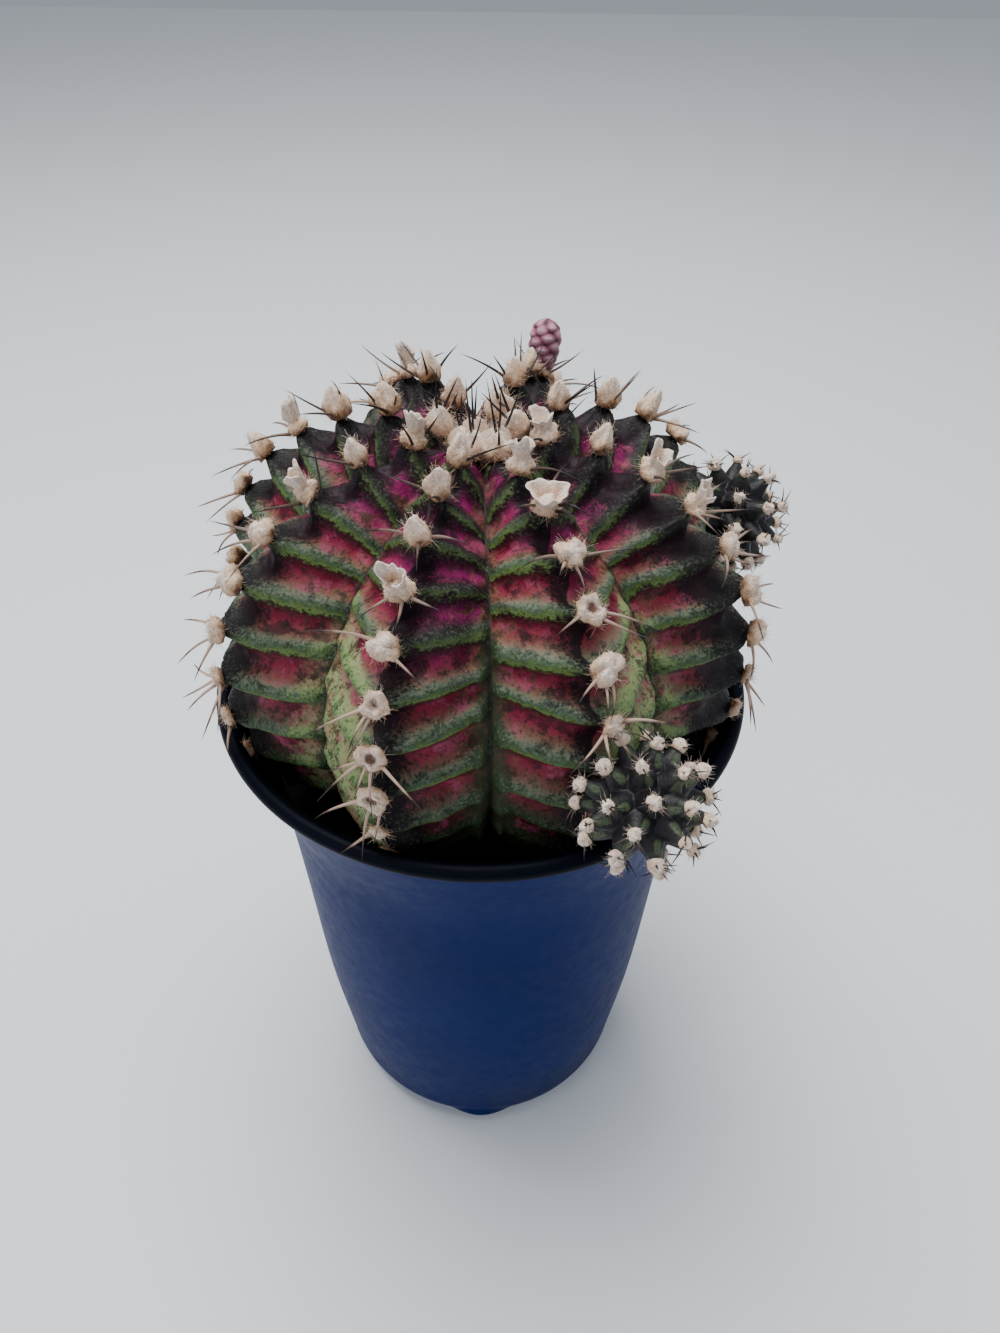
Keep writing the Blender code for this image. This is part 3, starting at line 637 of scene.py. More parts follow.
# Layers from the lowest up: zone, noise, fray, middle, half, strength and colour. The zone, if any,
# plus the noise times its fray is a value that crosses into the layer at the middle, within half on
# either side. Layers with the strength of the valley lie only in the hollows between the rungs.
LAYERS = (
    ("middle", drift, 0.9, 0.95, 0.40, 1.0, middle_band),
    ("low", drift, 0.9, 0.95, 0.45, 1.0, low_band),
    ("pale", mottle, 2.4, 1.70, 0.35, 1.0, pale_band),
    ("pale", smudge, -6.0, -0.80, 0.40, 0.55, "#a26c60"),
    ("pale", speck, 6.0, 5.15, 0.50, 0.70, "#34482a"),
    ("flank_share", blotch, 2.4, 2.02, 0.20, valley, "#7a5842"),
    (None, smudge, -1.0, -0.415, 0.045, valley, "#9c4660"),
    (None, smudge, 1.0, 0.575, 0.045, valley, "#30101a"),
    (None, blotch, 1.0, 0.59, 0.05, 0.55, "#181114"),
    (None, speck, 1.0, 0.57, 0.05, 0.50, "#100e0d"),
    ("dark", speck, 2.4, 1.70, 0.45, 0.94, "#140c12"),
    ("green", speck, 4.0, 2.50, 0.60, 0.80, "#2c3c25"),
    # The seam layer is painted shade: it darkens the crease along the furrow.
    ("furrow_crease_shade", mottle, 1.2, 1.10, 0.40, 0.70, "#161a13"),
    ("cork", mottle, 1.8, 1.40, 0.25, 0.90, "#3f2413"),
)
colour = crown_band
for zone, noise, fray, middle_value, half, strength, top_colour in LAYERS:
    border = add_node(tree, "Attribute", out="Fac", attribute_name=zone) if zone else 0.0
    border = add_node(tree, "Math", {0: noise, 1: fray, 2: border}, operation="MULTIPLY_ADD")
    limits = {0: border, 1: middle_value - half, 2: middle_value + half, 4: strength}
    inside_zone = add_node(tree, "MapRange", limits, interpolation_type="SMOOTHSTEP")
    colour = add_node(tree, "Mix", {0: inside_zone, 6: colour, 7: top_colour}, out=2, data_type="RGBA")
# Wax bloom stands as pale grains on the rungs, thinner where the skin is dark; these pale grains are also a
# painted sheen where the light catches the rungs.
darkness = add_node(tree, "Attribute", out="Fac", attribute_name="dark")
most_frost_and_sheen = add_node(tree, "MapRange", {0: darkness, 1: 0.8, 2: -0.3, 3: 0.14, 4: 0.24})
frost_and_sheen_place = add_node(tree, "MapRange", {0: rung_cosine, 1: -0.4, 2: 0.8, 4: most_frost_and_sheen})
limits = {0: cells, 1: 0.47, 2: 0.36, 4: frost_and_sheen_place}
frost_and_sheen = add_node(tree, "MapRange", limits, interpolation_type="SMOOTHSTEP")
colour = add_node(tree, "Mix", {0: frost_and_sheen, 6: colour, 7: "#82887a"}, out=2, data_type="RGBA")
waxy = add_node(tree, "MapRange", {0: mottle, 1: 0.3, 2: 0.7, 3: 0.45, 4: 0.62})
pebbled = add_node(tree, "Bump", {"Height": speck, "Strength": 0.55, "Distance": 0.0004})
set_inputs(tree, shader, {"Base Color": colour, "Roughness": waxy, "Normal": pebbled})
set_inputs(tree, shader, {"IOR": 1.42, "Specular IOR Level": 0.24})
flesh = {"Subsurface Weight": 0.03, "Subsurface Radius": (0.0012, 0.0006, 0.0004), "Subsurface Scale": 1.0}
set_inputs(tree, shader, flesh)

stem_points = np.vstack([stem_points.reshape(-1, 3), stem_ends])
stem = make_mesh("stem_body", stem_points, closed_faces(STEM_ROWS, len(column_rib)), skin, stem_values)
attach(stem, "root")
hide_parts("stem")


# ---------------------------------------------------------------- areole wool
# Each areole is a cushion of short felted hairs on its tooth of the crest. Young ones are pointed
# tufts and old ones round buttons, often with a brown hollow where a flower has been; some still
# hold the torn papery foot of a flower.


def unit(vectors):
    """Vectors scaled to length 1."""
    return vectors / np.maximum(np.linalg.norm(vectors, axis=-1, keepdims=True), 1e-12)


def crest_frames(rib, lengths):
    """Places on a rib's crest and the outward, rootward and sideways directions there, (m, 3) each."""
    middle, out, _ = stem_surface(np.asarray(lengths, float), rib, 0.0, 1)
    side = np.broadcast_to([math.cos(RIBS[rib]), math.sin(RIBS[rib]), 0.0], out.shape)
    return middle, out, np.cross(side, out), side


def turned_forms(frames, radius, height, lean):
    """Points (m, rows, columns, 3) of m turned forms. frames are (m, 3) arrays of origins, axes and two
    directions across; ring by ring the form has radius and height, (m, rows, columns), and it leans
    over by lean (m, 3) times its height squared."""
    origin, axis, one, two = (np.asarray(f)[:, None, None] for f in frames)
    turn = 2 * np.pi * np.arange(radius.shape[2])[:, None] / radius.shape[2]
    flat = one * np.cos(turn) + two * np.sin(turn)
    height = np.broadcast_to(height, radius.shape)[..., None]
    return origin + flat * radius[..., None] + axis * height + lean[:, None, None] * height**2


def strands(paths, radii, sides):
    """Points (m, n, sides, 3) of m round threads along paths (m, n, 3), radii (m, n) thick: at every
    path point, a ring in the plane across the thread."""
    tangent = unit(np.gradient(paths, axis=1))
    reference = np.eye(3)[np.argmin(np.abs(tangent.mean(1)), axis=1)]
    aside = unit(np.cross(tangent, reference[:, None]))[:, :, None]
    across = np.cross(tangent, aside[:, :, 0])[:, :, None]
    turn = 2 * np.pi * np.arange(sides)[:, None] / sides
    return paths[:, :, None] + (aside * np.cos(turn) + across * np.sin(turn)) * radii[:, :, None, None]


def capped_faces(rows, columns):
    """Faces of one tube of rows by columns points, closed by one flat face at each end."""
    ring = np.arange(columns)[None]
    return [tube_faces(rows, columns), ring[:, ::-1], (rows - 1) * columns + ring]


def merged(parts):
    """One list of points, the face groups and one array per value from several shapes. Each part is
    points (m, ..., 3) of m copies, the faces of one copy, and values by name."""
    points, faces, values, start = [], [], {}, 0
    for part_points, part_faces, part_values in parts:
        part_points = part_points.reshape(len(part_points), -1, 3)
        count, size = part_points.shape[:2]
        points.append(part_points.reshape(-1, 3))
        faces += [group + start for group in repeated(part_faces, count, size)]
        for key, value in part_values.items():
            values.setdefault(key, []).append(np.broadcast_to(value, (count, size)).ravel())
        start += count * size
    return np.vstack(points), faces, {key: np.concatenate(value) for key, value in values.items()}


TUFT_ROWS, TUFT_COLUMNS = 15, 24
HAIR_RINGS, HAIR_SIDES, HAIR_THICK = 4, 3, 0.028 * MM


def wool_tufts(frames, width, tall, point, hollow, hairs, hair_length, seed):
    """Felted tufts with loose hairs, as parts to merge. For m tufts, width and tall are the foot's
    radius and the height, point runs from 0 for a button to 1 for a cone, and hollow is the depth
    of the brown hollow. A button's outline is the square root of 1 - t ** 2.6 at height t, a cone's
    is 1 - t with a swollen middle; random folds run round and twist up both."""
    draw = np.random.default_rng(seed)
    origin, axis = np.asarray(frames[0]), np.asarray(frames[1])
    count = len(origin)
    sizes = (width, tall, point, hollow)
    width, tall, point, hollow = (np.broadcast_to(size, count)[:, None, None] for size in sizes)
    t = np.linspace(0, 1, TUFT_ROWS)[None, :, None]
    button = np.sqrt(1 - t**2.6) * (1 + 0.20 * np.sin(np.pi * np.clip(t * 1.5, 0, 1)))
    cone = (1 - t) ** 0.70 * (1 + 0.45 * np.sin(np.pi * t**0.8) ** 2)
    outline = np.maximum(button * (1 - point) + cone * point, 0.05)
    turn = 2 * np.pi * np.arange(TUFT_COLUMNS) / TUFT_COLUMNS
    folds = np.zeros((count, TUFT_ROWS, TUFT_COLUMNS))
    for waves, size in ((2, 0.10), (3, 0.10), (5, 0.08), (8, 0.05)):
        start = draw.uniform(0, 2 * np.pi, (count, 1, 1))
        twist = draw.uniform(-1.6, 1.6, (count, 1, 1)) * t
        folds += size * np.sin(waves * (turn + twist) + start)
    radius = width * outline * (1 + folds * (0.6 + t) + 0.035 * draw.normal(size=folds.shape))
    crater = bell(radius, 0.70 * width) * smooth_step(0.45, 0.95, t) * hollow
    ripples = folds + 0.05 * draw.normal(size=folds.shape)
    height = tall * (t + 0.45 * ripples * np.sin(np.pi * t) - 0.60 * crater) - 0.3 * MM
    lean = unit(draw.normal(size=(count, 3))) * 35.0 * draw.random((count, 1))
    body = turned_forms(frames, radius, height, lean)
    lift = np.broadcast_to(t, radius.shape)
    values = {"lift": lift.reshape(count, -1), "core": crater.reshape(count, -1)}
    tufts = (body, capped_faces(TUFT_ROWS, TUFT_COLUMNS), values)
    pick = (np.arange(count)[:, None], draw.integers(0, TUFT_ROWS - 2, (count, hairs)))
    pick += (draw.integers(0, TUFT_COLUMNS, (count, hairs)),)
    root = body[pick]
    away = unit(root - (origin + axis * 0.35 * tall[:, 0])[:, None])
    comb = unit(axis[:, None] * 0.7 + away + 0.8 * draw.normal(size=(count, hairs, 3)))
    curl = unit(draw.normal(size=(count, hairs, 3)))
    reach = draw.uniform(0.5, 1.2, (count, hairs, 1, 1)) * hair_length
    s = np.linspace(0, 1, HAIR_RINGS)[:, None]
    path = root[:, :, None] + comb[:, :, None] * reach * s + curl[:, :, None] * reach * 0.9 * s**2
    path = path - away[:, :, None] * 0.12 * MM * (1 - s)
    thick = np.broadcast_to(HAIR_THICK * (1 - 0.6 * s[:, 0]), (count * hairs, HAIR_RINGS))
    threads = strands(path.reshape(-1, HAIR_RINGS, 3), thick, HAIR_SIDES)
    values = {"lift": lift[pick].reshape(-1, 1) * 0.6 + 0.3, "core": 0.0}
    return [tufts, (threads, capped_faces(HAIR_RINGS, HAIR_SIDES), values)]


def papery_cups(frames, width, tall, ragged, seed):
    """Torn papery flower feet, as parts to merge: a thin wall that flares upwards out of the wool and
    comes back down inside itself. Its rim is pleated in and out by a sum of waves round it, and torn
    to an uneven height by another sum, ragged deep."""
    draw = np.random.default_rng(seed)
    count, rows, columns = len(frames[0]), 9, 40
    t = np.append(np.linspace(0, 1, rows), np.linspace(1, 0.12, rows))[None, :, None]
    wall = np.append(np.zeros(rows), np.full(rows, 0.26 * MM))[None, :, None]
    turn = 2 * np.pi * np.arange(columns) / columns
    pleats, torn = np.zeros((count, 1, columns)), np.zeros((count, 1, columns))
    for waves in (1, 2, 3, 5, 8):
        pleats += 0.45 / waves**0.2 * np.sin(waves * turn + draw.uniform(0, 6.3, (count, 1, 1)))
        torn += 0.6 / waves**0.7 * np.sin(waves * turn + draw.uniform(0, 6.3, (count, 1, 1)))
    width, tall, ragged = (np.broadcast_to(v, count)[:, None, None] for v in (width, tall, ragged))
    radius = width * (0.58 + 0.52 * t**1.3) * (1 + 0.24 * pleats * t**0.7) - wall
    height = tall * t * (1 + ragged * torn * t)
    lean = unit(draw.normal(size=(count, 3))) * 30.0
    body = turned_forms(frames, np.maximum(radius, 0.12 * MM), height, lean)
    lift = np.repeat(0.45 + 0.5 * t[0], columns, axis=1).reshape(1, -1)
    return [(body, capped_faces(2 * rows, columns), {"lift": lift, "core": 0.0})]


wool_finish, tree, shader = new_material("felted_areole_wool")
# Plant hair, felted: cream with tan where it is packed, darkening to brown towards the foot, which
# is painted shade where the tuft meets the stem, brown in the hollow of an old areole, with stains
# 1.6 mm wide. Hairs under 0.1 mm are felted into locks, drawn at 0.4 mm so that they show. It is
# fully matt and its edges catch the light, which the sheen gives.
wool_place = add_node(tree, "TexCoord", out="Object")
felt = add_node(tree, "TexNoise", {"Vector": wool_place, "Scale": 2400.0, "Detail": 3.0, "Distortion": 1.5})
stain = add_node(tree, "TexNoise", {"Vector": wool_place, "Scale": 620.0, "Detail": 3.0})
lift_value = add_node(tree, "Attribute", out="Fac", attribute_name="lift")
core_value = add_node(tree, "Attribute", out="Fac", attribute_name="core")
# The wool darkens towards its foot by lift: painted shade where the tuft meets the stem, with real stains
# from the stain noise on top.
stain_and_foot_shade = add_node(tree, "Math", {0: stain, 1: 1.1, 2: lift_value}, operation="MULTIPLY_ADD")
stain_and_foot_shade = add_node(tree, "Math", {0: stain_and_foot_shade, 1: 0.55}, operation="SUBTRACT")
stops = [(0.0, "#5e3a22"), (0.14, "#b0845f"), (0.32, "#e2bd9b"), (0.60, "#f5d9c0"), (1.0, "#fdecdc")]
colour = add_node(tree, "ValToRGB", {0: stain_and_foot_shade}, stops=stops)
packed = add_node(tree, "MapRange", {0: felt, 1: 0.54, 2: 0.36, 4: 0.45}, interpolation_type="SMOOTHSTEP")
colour = add_node(tree, "Mix", {0: packed, 6: colour, 7: "#a67f60"}, out=2, data_type="RGBA")
core_value = add_node(tree, "Math", {0: stain, 1: 1.3, 2: core_value}, operation="MULTIPLY_ADD")
browned = add_node(tree, "MapRange", {0: core_value, 1: 1.05, 2: 1.45, 4: 0.92})
colour = add_node(tree, "Mix", {0: browned, 6: colour, 7: "#5a3018"}, out=2, data_type="RGBA")
felted = add_node(tree, "Bump", {"Height": felt, "Strength": 0.9, "Distance": 0.0003})
set_inputs(tree, shader, {"Base Color": colour, "Normal": felted})
set_inputs(tree, shader, {"Roughness": 0.95, "Specular IOR Level": 0.2})
set_inputs(tree, shader, {"Sheen Weight": 0.15, "Sheen Roughness": 0.5})

# One letter for each areole of a rib, from the crown down: p pointed tuft, c wide cup, t torn
# remains, b button, h button with a brown hollow, s small worn button, . none.
AREOLES = "tcbhbs tpttbbbsss pppb...sss ppbbbbbsss pptbbbbsss pptpbbbsss tptbbbsss ppptbhhhss".split()
HAIRS, HAIR_LENGTH, CUP_SEAT = 130, 0.75 * MM, 0.8 * MM
# Radius and height in mm, how pointed, how hollow; then the papery cup's radius, height, raggedness.
WOOL_KINDS = {
    "p": (1.45, 4.3, 0.55, 0.0),
    "c": (1.60, 1.9, 0.10, 0.0, 2.15, 2.1, 0.24),
    "t": (1.45, 2.5, 0.25, 0.0, 1.35, 2.9, 0.40),
    "b": (1.65, 3.0, 0.20, 0.4),
    "h": (1.70, 2.5, 0.0, 1.0),
    "s": (1.20, 2.0, 0.20, 0.4),
}
rib_areoles = []
for rib, kinds in enumerate(AREOLES):
    draw = np.random.default_rng(100 + rib)
    numbers = np.array([number for number, kind in enumerate(kinds) if kind != "."])
    kinds = [kinds[number] for number in numbers]
    lengths = FIRST_AREOLES[rib] + numbers * AREOLE_PITCHES[rib]
    middle, out, rootward, side = crest_frames(rib, lengths)
    facing_up = unit(out + np.outer(smooth_step(15 * MM, 45 * MM, lengths), (0, 0, 0.40)))
    frames = (middle, facing_up, rootward, side)
    grow = draw.uniform(0.9, 1.1, len(kinds))
    width, tall, point, hollow = np.array([WOOL_KINDS[kind][:4] for kind in kinds]).T
    width, tall = width * grow * MM, tall * grow * MM
    parts = wool_tufts(frames, width, tall, point, hollow, HAIRS, HAIR_LENGTH, 200 + rib)
    torn = [k for k, kind in enumerate(kinds) if kind in "ct"]
    if torn:
        cup_width, cup_tall, ragged = np.array([WOOL_KINDS[kinds[k]][4:] for k in torn]).T
        cup_frames = [f[torn] for f in frames]
        cup_frames[0] = cup_frames[0] + cup_frames[1] * CUP_SEAT
        parts += papery_cups(cup_frames, cup_width * MM, cup_tall * MM, ragged, 300 + rib)
    points, faces, values = merged(parts)
    wool = make_mesh(f"areole_wool_rib{rib + 1}", points, faces, wool_finish, values)
    nodes = [node for node in sorted(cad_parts) if node.startswith(f"areole_rib{rib + 1}_")]
    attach(wool, "root")
    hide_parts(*nodes)
    rib_areoles.append((lengths, middle, out, rootward, side))


# ---------------------------------------------------------------- spines
# Stiff, slightly curved spines grow from the lower edge of each areole. Young ones are thin and
# nearly black, old ones thicker and grey-tan with dark tips, and lie out sideways and downwards.
# None is left where it would run into the pot's wall.

SPINE_RINGS, SPINE_SIDES = 9, 6


def spine_parts(base, aim, droop, length, thick, young):
    """Curved tapering spines as parts to merge: each runs from base along aim (m, 3), bends towards
    droop by the square of the way along, and thins from a swollen foot to a point."""
    s = np.linspace(0, 1, SPINE_RINGS)
    path = base[:, None] + aim[:, None] * (length[:, None] * s)[..., None]
    path = path + droop[:, None] * (0.32 * length[:, None] * s**2)[..., None]
    taper = (1 - s) ** 0.75 * (1 + 0.25 * bell(s, 0.07)) + 0.06
    body = strands(path, thick[:, None] * taper, SPINE_SIDES)
    along = np.repeat(s, SPINE_SIDES)[None]
    return [(body, capped_faces(SPINE_RINGS, SPINE_SIDES), {"along": along, "young": young[:, None]})]


horn, tree, shader = new_material("horny_spine")
# A dead woody spine, like horn: pale tan with grey staining about 1 mm long and a dark tip, or dark
# brown all over while it is young. It has a slight gloss.
horn_place = add_node(tree, "TexCoord", out="Object")
staining = add_node(tree, "TexNoise", {"Vector": horn_place, "Scale": 900.0, "Detail": 3.0})
along_value = add_node(tree, "Attribute", out="Fac", attribute_name="along")
young_value = add_node(tree, "Attribute", out="Fac", attribute_name="young")
way = add_node(tree, "Math", {0: staining, 1: 0.45, 2: along_value}, operation="MULTIPLY_ADD")
stops = [(0.12, "#7c5844"), (0.35, "#c4a894"), (0.72, "#b0927f"), (0.95, "#5c3f37"), (1.0, "#241817")]
old_horn = add_node(tree, "ValToRGB", {0: way}, stops=stops)
stops = [(0.12, "#6b4a38"), (0.42, "#2a1a19"), (0.80, "#120d10"), (1.0, "#0b080a")]
new_horn = add_node(tree, "ValToRGB", {0: way}, stops=stops)
colour = add_node(tree, "Mix", {0: young_value, 6: old_horn, 7: new_horn}, out=2, data_type="RGBA")
stained_gloss = add_node(tree, "MapRange", {0: staining, 1: 0.3, 2: 0.7, 3: 0.42, 4: 0.62})
grained = add_node(tree, "Bump", {"Height": staining, "Strength": 0.5, "Distance": 0.0002})
set_inputs(tree, shader, {"Base Color": colour, "Roughness": stained_gloss, "Normal": grained})

KEPT_SHARE, WALL_CLEARANCE = 0.84, 1.5 * MM
# Spread of the spines by age: lift from the crest and swing from rootward in degrees, length in mm.
YOUNG_SPREAD = ((48, 18, 6.6), (42, -82, 6.4), (40, 80, 6.2), (64, 150, 5.4))
MIDDLE_SPREAD = ((34, 74, 7.2), (30, -76, 7.4), (36, 16, 6.2), (50, -32, 5.6))
OLD_SPREAD = ((22, 70, 7.4), (20, -68, 7.6), (32, 32, 6.8), (34, -30, 6.8), (46, 0, 5.4))
for rib, (lengths, middle, out, rootward, side) in enumerate(rib_areoles):
    draw = np.random.default_rng(400 + rib)
    rows = []
    for k, length in enumerate(lengths):
        age_here = length / (60 * MM)
        spread = YOUNG_SPREAD if age_here < 0.45 else MIDDLE_SPREAD if age_here < 0.85 else OLD_SPREAD
        for lift, swing, reach in spread:
            kept = draw.random() > 1 - KEPT_SHARE
            lift, swing = np.radians((lift, swing) + draw.normal(size=2) * (7, 11))
            flat = rootward[k] * math.cos(swing) + side[k] * math.sin(swing)
            aim = out[k] * math.sin(lift) + flat * math.cos(lift)
            base = middle[k] + out[k] * 0.3 * MM + flat * 1.25 * MM + 0.2 * MM * draw.normal(size=3)
            droop = rootward[k] * 0.45 - out[k] * 0.30 + 0.45 * draw.normal(size=3)
            reach *= draw.uniform(0.82, 1.15) * MM
            young = float(np.clip(1.35 - 1.7 * age_here + 0.15 * draw.normal(), 0, 1))
            tip = base + (unit(aim) + 0.32 * droop) * reach
            pot_wall = np.interp(tip[2], inside[:, 1], inside[:, 0]) - WALL_CLEARANCE
            clear = tip[2] > rim_top + 0.5 * MM or math.hypot(tip[0], tip[1]) < pot_wall
            if kept and clear:
                thick = (0.22 + 0.05 * min(age_here, 1)) * MM
                rows.append((*base, *unit(aim), *droop, reach, thick, young))
    rows = np.array(rows)
    grown = spine_parts(rows[:, 0:3], rows[:, 3:6], rows[:, 6:9], *rows[:, 9:].T)
    points, faces, values = merged(grown)
    spines = make_mesh(f"spines_rib{rib + 1}", points, faces, horn, values)
    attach(spines, "root")


# ---------------------------------------------------------------- crown
# The growing point: the youngest areole of every rib stands packed against its neighbours round
# the dip at the crown, with short dark spines that stand up out of the felt.

crown_lengths = np.clip(FIRST_AREOLES - 0.95 * AREOLE_PITCHES, 2.4 * MM, None)
crown_frames = [crest_frames(rib, [length]) for rib, length in enumerate(crown_lengths)]
middle, out, rootward, side = (np.concatenate([f[k] for f in crown_frames]) for k in range(4))
upward = unit(out + np.array([0, 0, 1.2]))
frames = (middle, upward, rootward, side)
parts = wool_tufts(frames, 1.75 * MM, 3.7 * MM, 0.40, 0.0, 190, 1.2 * MM, 501)
heart = (stem_ends[:1] - (0, 0, 0.6 * MM), *(np.eye(3)[k : k + 1] for k in (2, 0, 1)))
parts += wool_tufts(heart, 3.4 * MM, 3.4 * MM, 0.1, 0.2, 700, 1.4 * MM, 502)
points, faces, values = merged(parts)
crown = make_mesh("crown_tufts", points, faces, wool_finish, values)
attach(crown, "root")
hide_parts("crown_wool")

draw = np.random.default_rng(503)
pairs = np.repeat(np.arange(8), 2)
count = len(pairs)
base = middle[pairs] + upward[pairs] * 1.5 * MM
aim = unit(upward[pairs] + 0.40 * draw.normal(size=(count, 3)))
inward = unit((0, 0, 0.01) - middle[pairs] * (1, 1, 0))
reach = draw.uniform(4.8, 7.0, count) * MM
parts = spine_parts(base, aim, inward, reach, np.full(count, 0.27 * MM), np.ones(count))
points, faces, values = merged(parts)
crown_spines = make_mesh("crown_spines", points, faces, horn, values)
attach(crown_spines, "root")


# ---------------------------------------------------------------- offsets
# Two young plants grow from low areoles. Each is a dark globe of pointed knobs set in spirals, with
# a tuft of white wool and thin dark spines on every knob, and a paler green wedge above the tuft.

OFFSET_KNOBS, KNOB_SPREAD = 38, 0.25
OFFSET_ROWS, OFFSET_COLUMNS, KNOB_SPINES = 120, 170, 4
# Name, direction in degrees, distance from the pot's axis, height above the rim, radius.
OFFSETS = (("offset_front", 27.2, 44.8, 11.3, 8.2), ("offset_back", 117.0, 46.4, 14.5, 9.0))


def spiral_directions(count):
    """Evenly spread unit vectors (count, 3): levels evenly spaced along the third axis, each a golden
    angle round from the one before."""
    level = 1 - (2 * np.arange(count) + 1) / count
    turn = np.arange(count) * math.pi * (3 - math.sqrt(5))
    flat = np.sqrt(1 - level**2)
    return np.stack([flat * np.cos(turn), flat * np.sin(turn), level], -1)


def basis_about(axis):
    """Three right-handed unit directions as the columns of a matrix; the last is the axis."""
    third = unit(np.asarray(axis, float))
    first = unit(np.cross((0.0, 0.0, 1.0) if abs(third[2]) < 0.9 else (1.0, 0.0, 0.0), third))
    return np.stack([first, np.cross(third, first), third], -1)


def offset_surface(knobs, aims):
    """For unit aims (n, 3): how far out the skin lies, the nearness of a knob's tip, and of its wedge.
    A knob's height falls off as exp(-(a / KNOB_SPREAD) ** 1.4) with the angle a from its direction;
    its wedge lies on the side that faces the offset's own crown."""
    cosines = np.clip(aims @ knobs.T, -1, 1)
    nearest = np.argmax(cosines, axis=1)
    apart = np.arccos(cosines[np.arange(len(aims)), nearest])
    knob = np.exp(-((apart / KNOB_SPREAD) ** 1.4))
    crownward = unit(np.array([0, 0, 1.0]) - knobs * knobs[:, 2:])
    behind = np.einsum("ij,ij->i", aims - knobs[nearest], crownward[nearest]) / np.maximum(apart, 1e-6)
    ring = smooth_step(0.07, 0.13, apart) * (1 - smooth_step(0.20, 0.34, apart))
    wedge = smooth_step(0.80, 0.995, behind) * ring
    return 0.60 + 0.46 * knob, knob, wedge


offset_skin, tree, shader = new_material("young_offset_skin")
# Young epidermis, thick and waxy: black-purple between the knobs, dark green on them, and a frosted
# grey-green wedge above each tuft. Cells are drawn at 0.4 mm and mottling at 1.4 mm.
offset_place = add_node(tree, "TexCoord", out="Object")
cells = add_node(tree, "TexNoise", {"Vector": offset_place, "Scale": 2400.0, "Detail": 2.0})
mottle = add_node(tree, "TexNoise", {"Vector": offset_place, "Scale": 700.0, "Detail": 3.0})
knob_value = add_node(tree, "Attribute", out="Fac", attribute_name="knob")
wedge_value = add_node(tree, "Attribute", out="Fac", attribute_name="wedge")
knob_value = add_node(tree, "Math", {0: mottle, 1: 0.6, 2: knob_value}, operation="MULTIPLY_ADD")
stops = [(0.25, "#08060a"), (0.60, "#151118"), (0.90, "#1b1a1b"), (1.0, "#272c24")]
colour = add_node(tree, "ValToRGB", {0: knob_value}, stops=stops)
wedge_value = add_node(tree, "Math", {0: cells, 1: 1.2, 2: wedge_value}, operation="MULTIPLY_ADD")
limits = {0: wedge_value, 1: 0.90, 2: 1.5, 4: 0.70}
wedge_value = add_node(tree, "MapRange", limits, interpolation_type="SMOOTHSTEP")
colour = add_node(tree, "Mix", {0: wedge_value, 6: colour, 7: "#59664a"}, out=2, data_type="RGBA")
dots = add_node(tree, "MapRange", {0: cells, 1: 0.56, 2: 0.66, 4: 0.6}, interpolation_type="SMOOTHSTEP")
colour = add_node(tree, "Mix", {0: dots, 6: colour, 7: "#070606"}, out=2, data_type="RGBA")
pebbled = add_node(tree, "Bump", {"Height": cells, "Strength": 0.4, "Distance": 0.0003})
set_inputs(tree, shader, {"Base Color": colour, "Normal": pebbled})
set_inputs(tree, shader, {"Roughness": 0.5, "Specular IOR Level": 0.35})

for serial, (name, direction, distance, height, radius) in enumerate(OFFSETS):
    direction, radius = math.radians(direction), radius * MM
    outward = np.array([math.sin(direction), -math.cos(direction), 0.0])
    centre = outward * distance * MM + (0, 0, rim_top + height * MM)
    basis = basis_about(outward + (0, 0, 0.75))
    knobs = spiral_directions(OFFSET_KNOBS)
    polar = np.linspace(0, math.pi, OFFSET_ROWS + 2)[1:-1, None]
    turn = 2 * np.pi * np.arange(OFFSET_COLUMNS) / OFFSET_COLUMNS
    ring = np.sin(polar)
    aims = np.stack([ring * np.cos(turn), ring * np.sin(turn), np.cos(polar) + 0 * turn], -1)
    aims = np.vstack([aims.reshape(-1, 3), [(0, 0, 1.0), (0, 0, -1.0)]])
    reach, knob, wedge = offset_surface(knobs, aims)
    points = centre + (aims * (radius * reach)[:, None]) @ basis.T
    points = points + 0.06 * MM * ripple(points, 1.0 * MM, 600 + serial)[:, None] * (aims @ basis.T)
    faces = closed_faces(OFFSET_ROWS, OFFSET_COLUMNS)
    globe = make_mesh(f"{name}_body", points, faces, offset_skin, {"knob": knob, "wedge": wedge})
    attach(globe, "root")
    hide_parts(name)

    tip_out = knobs[knobs[:, 2] > -0.72] @ basis.T
    tips = centre + tip_out * radius * 1.02
    one = unit(np.cross(tip_out, (0.31, 0.2, 0.93)))
    frames = (tips, tip_out, one, np.cross(tip_out, one))
    draw = np.random.default_rng(610 + serial)
    grow = draw.uniform(0.85, 1.15, len(tips))
    parts = wool_tufts(frames, 0.85 * MM * grow, 1.7 * MM * grow, 0.35, 0.0, 45, 0.6 * MM, 620 + serial)
    points, faces, values = merged(parts)
    values["lift"] = 0.55 + 0.45 * values["lift"]
    wool = make_mesh(f"{name}_wool", points, faces, wool_finish, values)
    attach(wool, "root")

    picks = np.repeat(np.arange(len(tips)), KNOB_SPINES)
    swing = draw.uniform(0, 2 * math.pi, (len(picks), 1))
    flat = frames[2][picks] * np.cos(swing) + frames[3][picks] * np.sin(swing)
    aim = unit(tip_out[picks] * draw.uniform(0.4, 1.1, (len(picks), 1)) + flat)
    reach = draw.uniform(2.2, 3.4, len(picks)) * MM
    young = np.clip(draw.normal(0.9, 0.15, len(picks)), 0, 1)
    thick = np.full(len(picks), 0.15 * MM)
    droop = flat * 0.2 - tip_out[picks] * 0.5
    parts = spine_parts(tips[picks] + 0.3 * MM * aim, aim, droop, reach, thick, young)
    points, faces, values = merged(parts)
    thorns = make_mesh(f"{name}_spines", points, faces, horn, values)
    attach(thorns, "root")


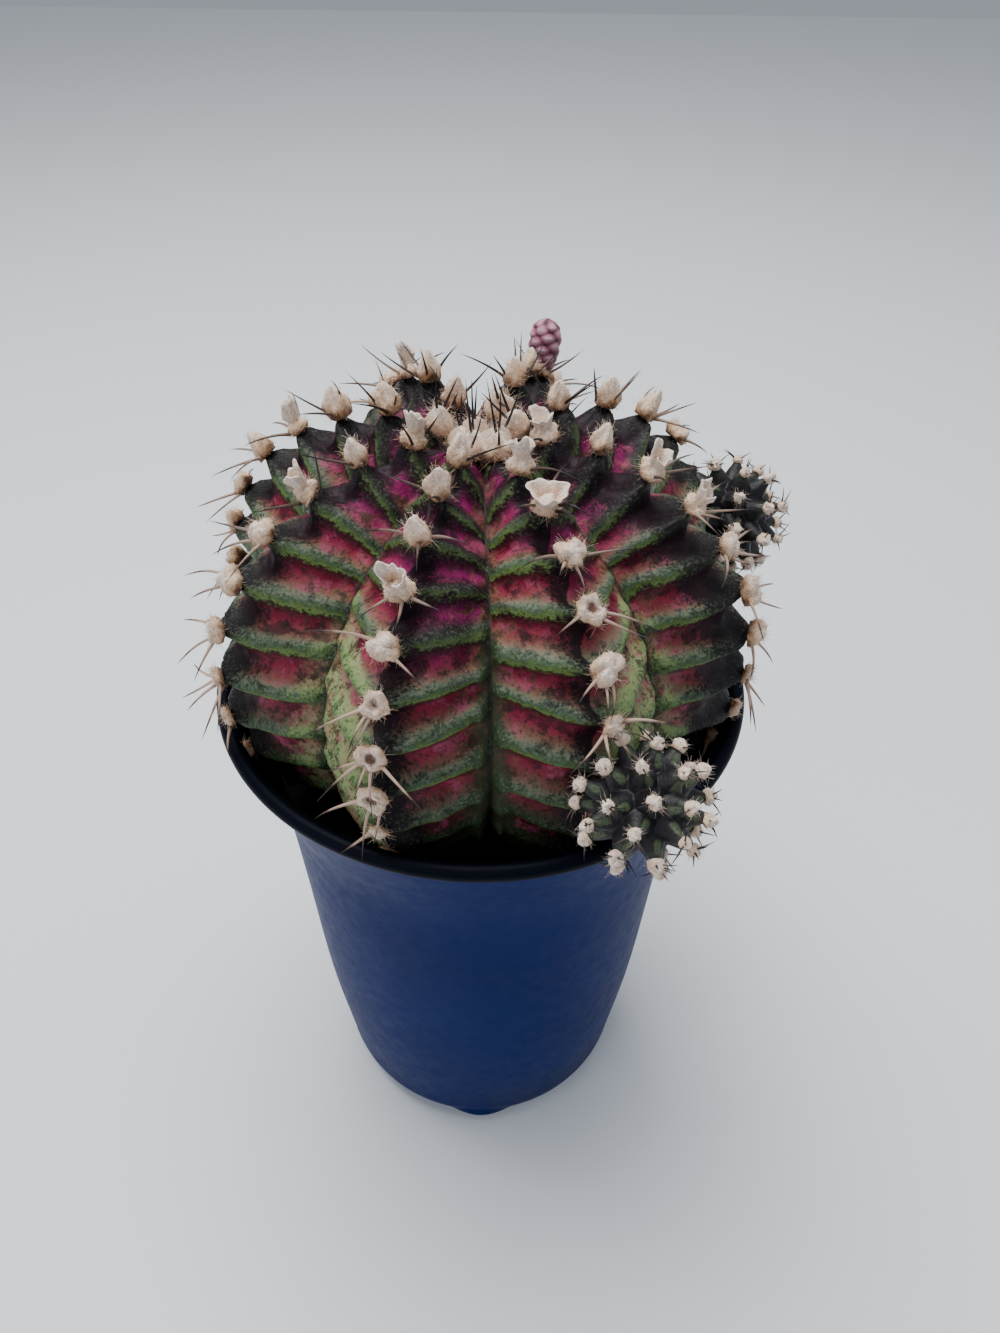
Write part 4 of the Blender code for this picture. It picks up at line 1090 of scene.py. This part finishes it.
# ---------------------------------------------------------------- flower bud
# A single closed bud stands in the wool of an areole on a back rib. Overlapping rounded scales
# cover it from foot to tip.

BUD_RIB, BUD_ALONG = 3, 28.0 * MM
BUD_RADIUS, BUD_LENGTH = 2.6 * MM, 7.4 * MM
BUD_ROWS, BUD_COLUMNS, BUD_SCALES = 110, 90, 34

middle, out, rootward, side = crest_frames(BUD_RIB, [BUD_ALONG])
bud_basis = basis_about(unit(out[0] + (0, 0, 1.2)))
t = np.linspace(0.0, 1.0, BUD_ROWS)[:, None]
turn = 2 * np.pi * np.arange(BUD_COLUMNS) / BUD_COLUMNS
outline = np.interp(t, [0, 0.15, 0.4, 0.65, 0.85, 0.95, 1.0], [0.72, 0.84, 0.97, 1.0, 0.82, 0.50, 0.12])
# Each scale swells from its middle as (1 - distance) ** 0.6, a golden angle round from the last.
swelling = np.zeros((BUD_ROWS, BUD_COLUMNS))
for k in range(BUD_SCALES):
    level, spot = (k + 0.5) / BUD_SCALES * 1.05, k * math.pi * (3 - math.sqrt(5))
    round_by = (turn - spot + math.pi) % (2 * math.pi) - math.pi
    away = np.sqrt((round_by / 0.56) ** 2 + ((t - level + 0.03) / 0.11) ** 2)
    swelling = np.maximum(swelling, np.clip(1 - away, 0, 1) ** 0.6)
bud_radius = BUD_RADIUS * outline * (0.86 + 0.16 * swelling)
bud_local = np.stack([bud_radius * np.cos(turn), bud_radius * np.sin(turn), BUD_LENGTH * t + 0 * turn], -1)
bud_local = np.vstack([bud_local.reshape(-1, 3), [(0, 0, 0), (0, 0, BUD_LENGTH)]])
bud_points = middle[0] + out[0] * 1.0 * MM + bud_local @ bud_basis.T

petal, tree, shader = new_material("fleshy_bud_scales")
# Fleshy bud scales: dusty pink, mottled at 1 mm, paler on their swollen middles and darkening to
# dull red in the gaps between them, which is painted shade; matt.
bud_place = add_node(tree, "TexCoord", out="Object")
mottle = add_node(tree, "TexNoise", {"Vector": bud_place, "Scale": 900.0, "Detail": 3.0})
swell_value = add_node(tree, "Attribute", out="Fac", attribute_name="swell")
swell_value = add_node(tree, "Math", {0: mottle, 1: 0.5, 2: swell_value}, operation="MULTIPLY_ADD")
# The dark low end of this ramp, in the gaps between the scales, is painted shade.
stops = [(0.15, "#40182a"), (0.40, "#7a3e50"), (0.75, "#9e6475"), (1.0, "#bc929e")]
colour = add_node(tree, "ValToRGB", {0: swell_value}, stops=stops)
fleshy = add_node(tree, "Bump", {"Height": mottle, "Strength": 0.4, "Distance": 0.0003})
set_inputs(tree, shader, {"Base Color": colour, "Normal": fleshy, "Roughness": 0.65})

bud_values = {"swell": np.append(swelling.ravel(), [0.2, 0.6])}
bud = make_mesh("flower_bud_scales", bud_points, closed_faces(BUD_ROWS, BUD_COLUMNS), petal, bud_values)
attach(bud, "root")
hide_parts("flower_bud")
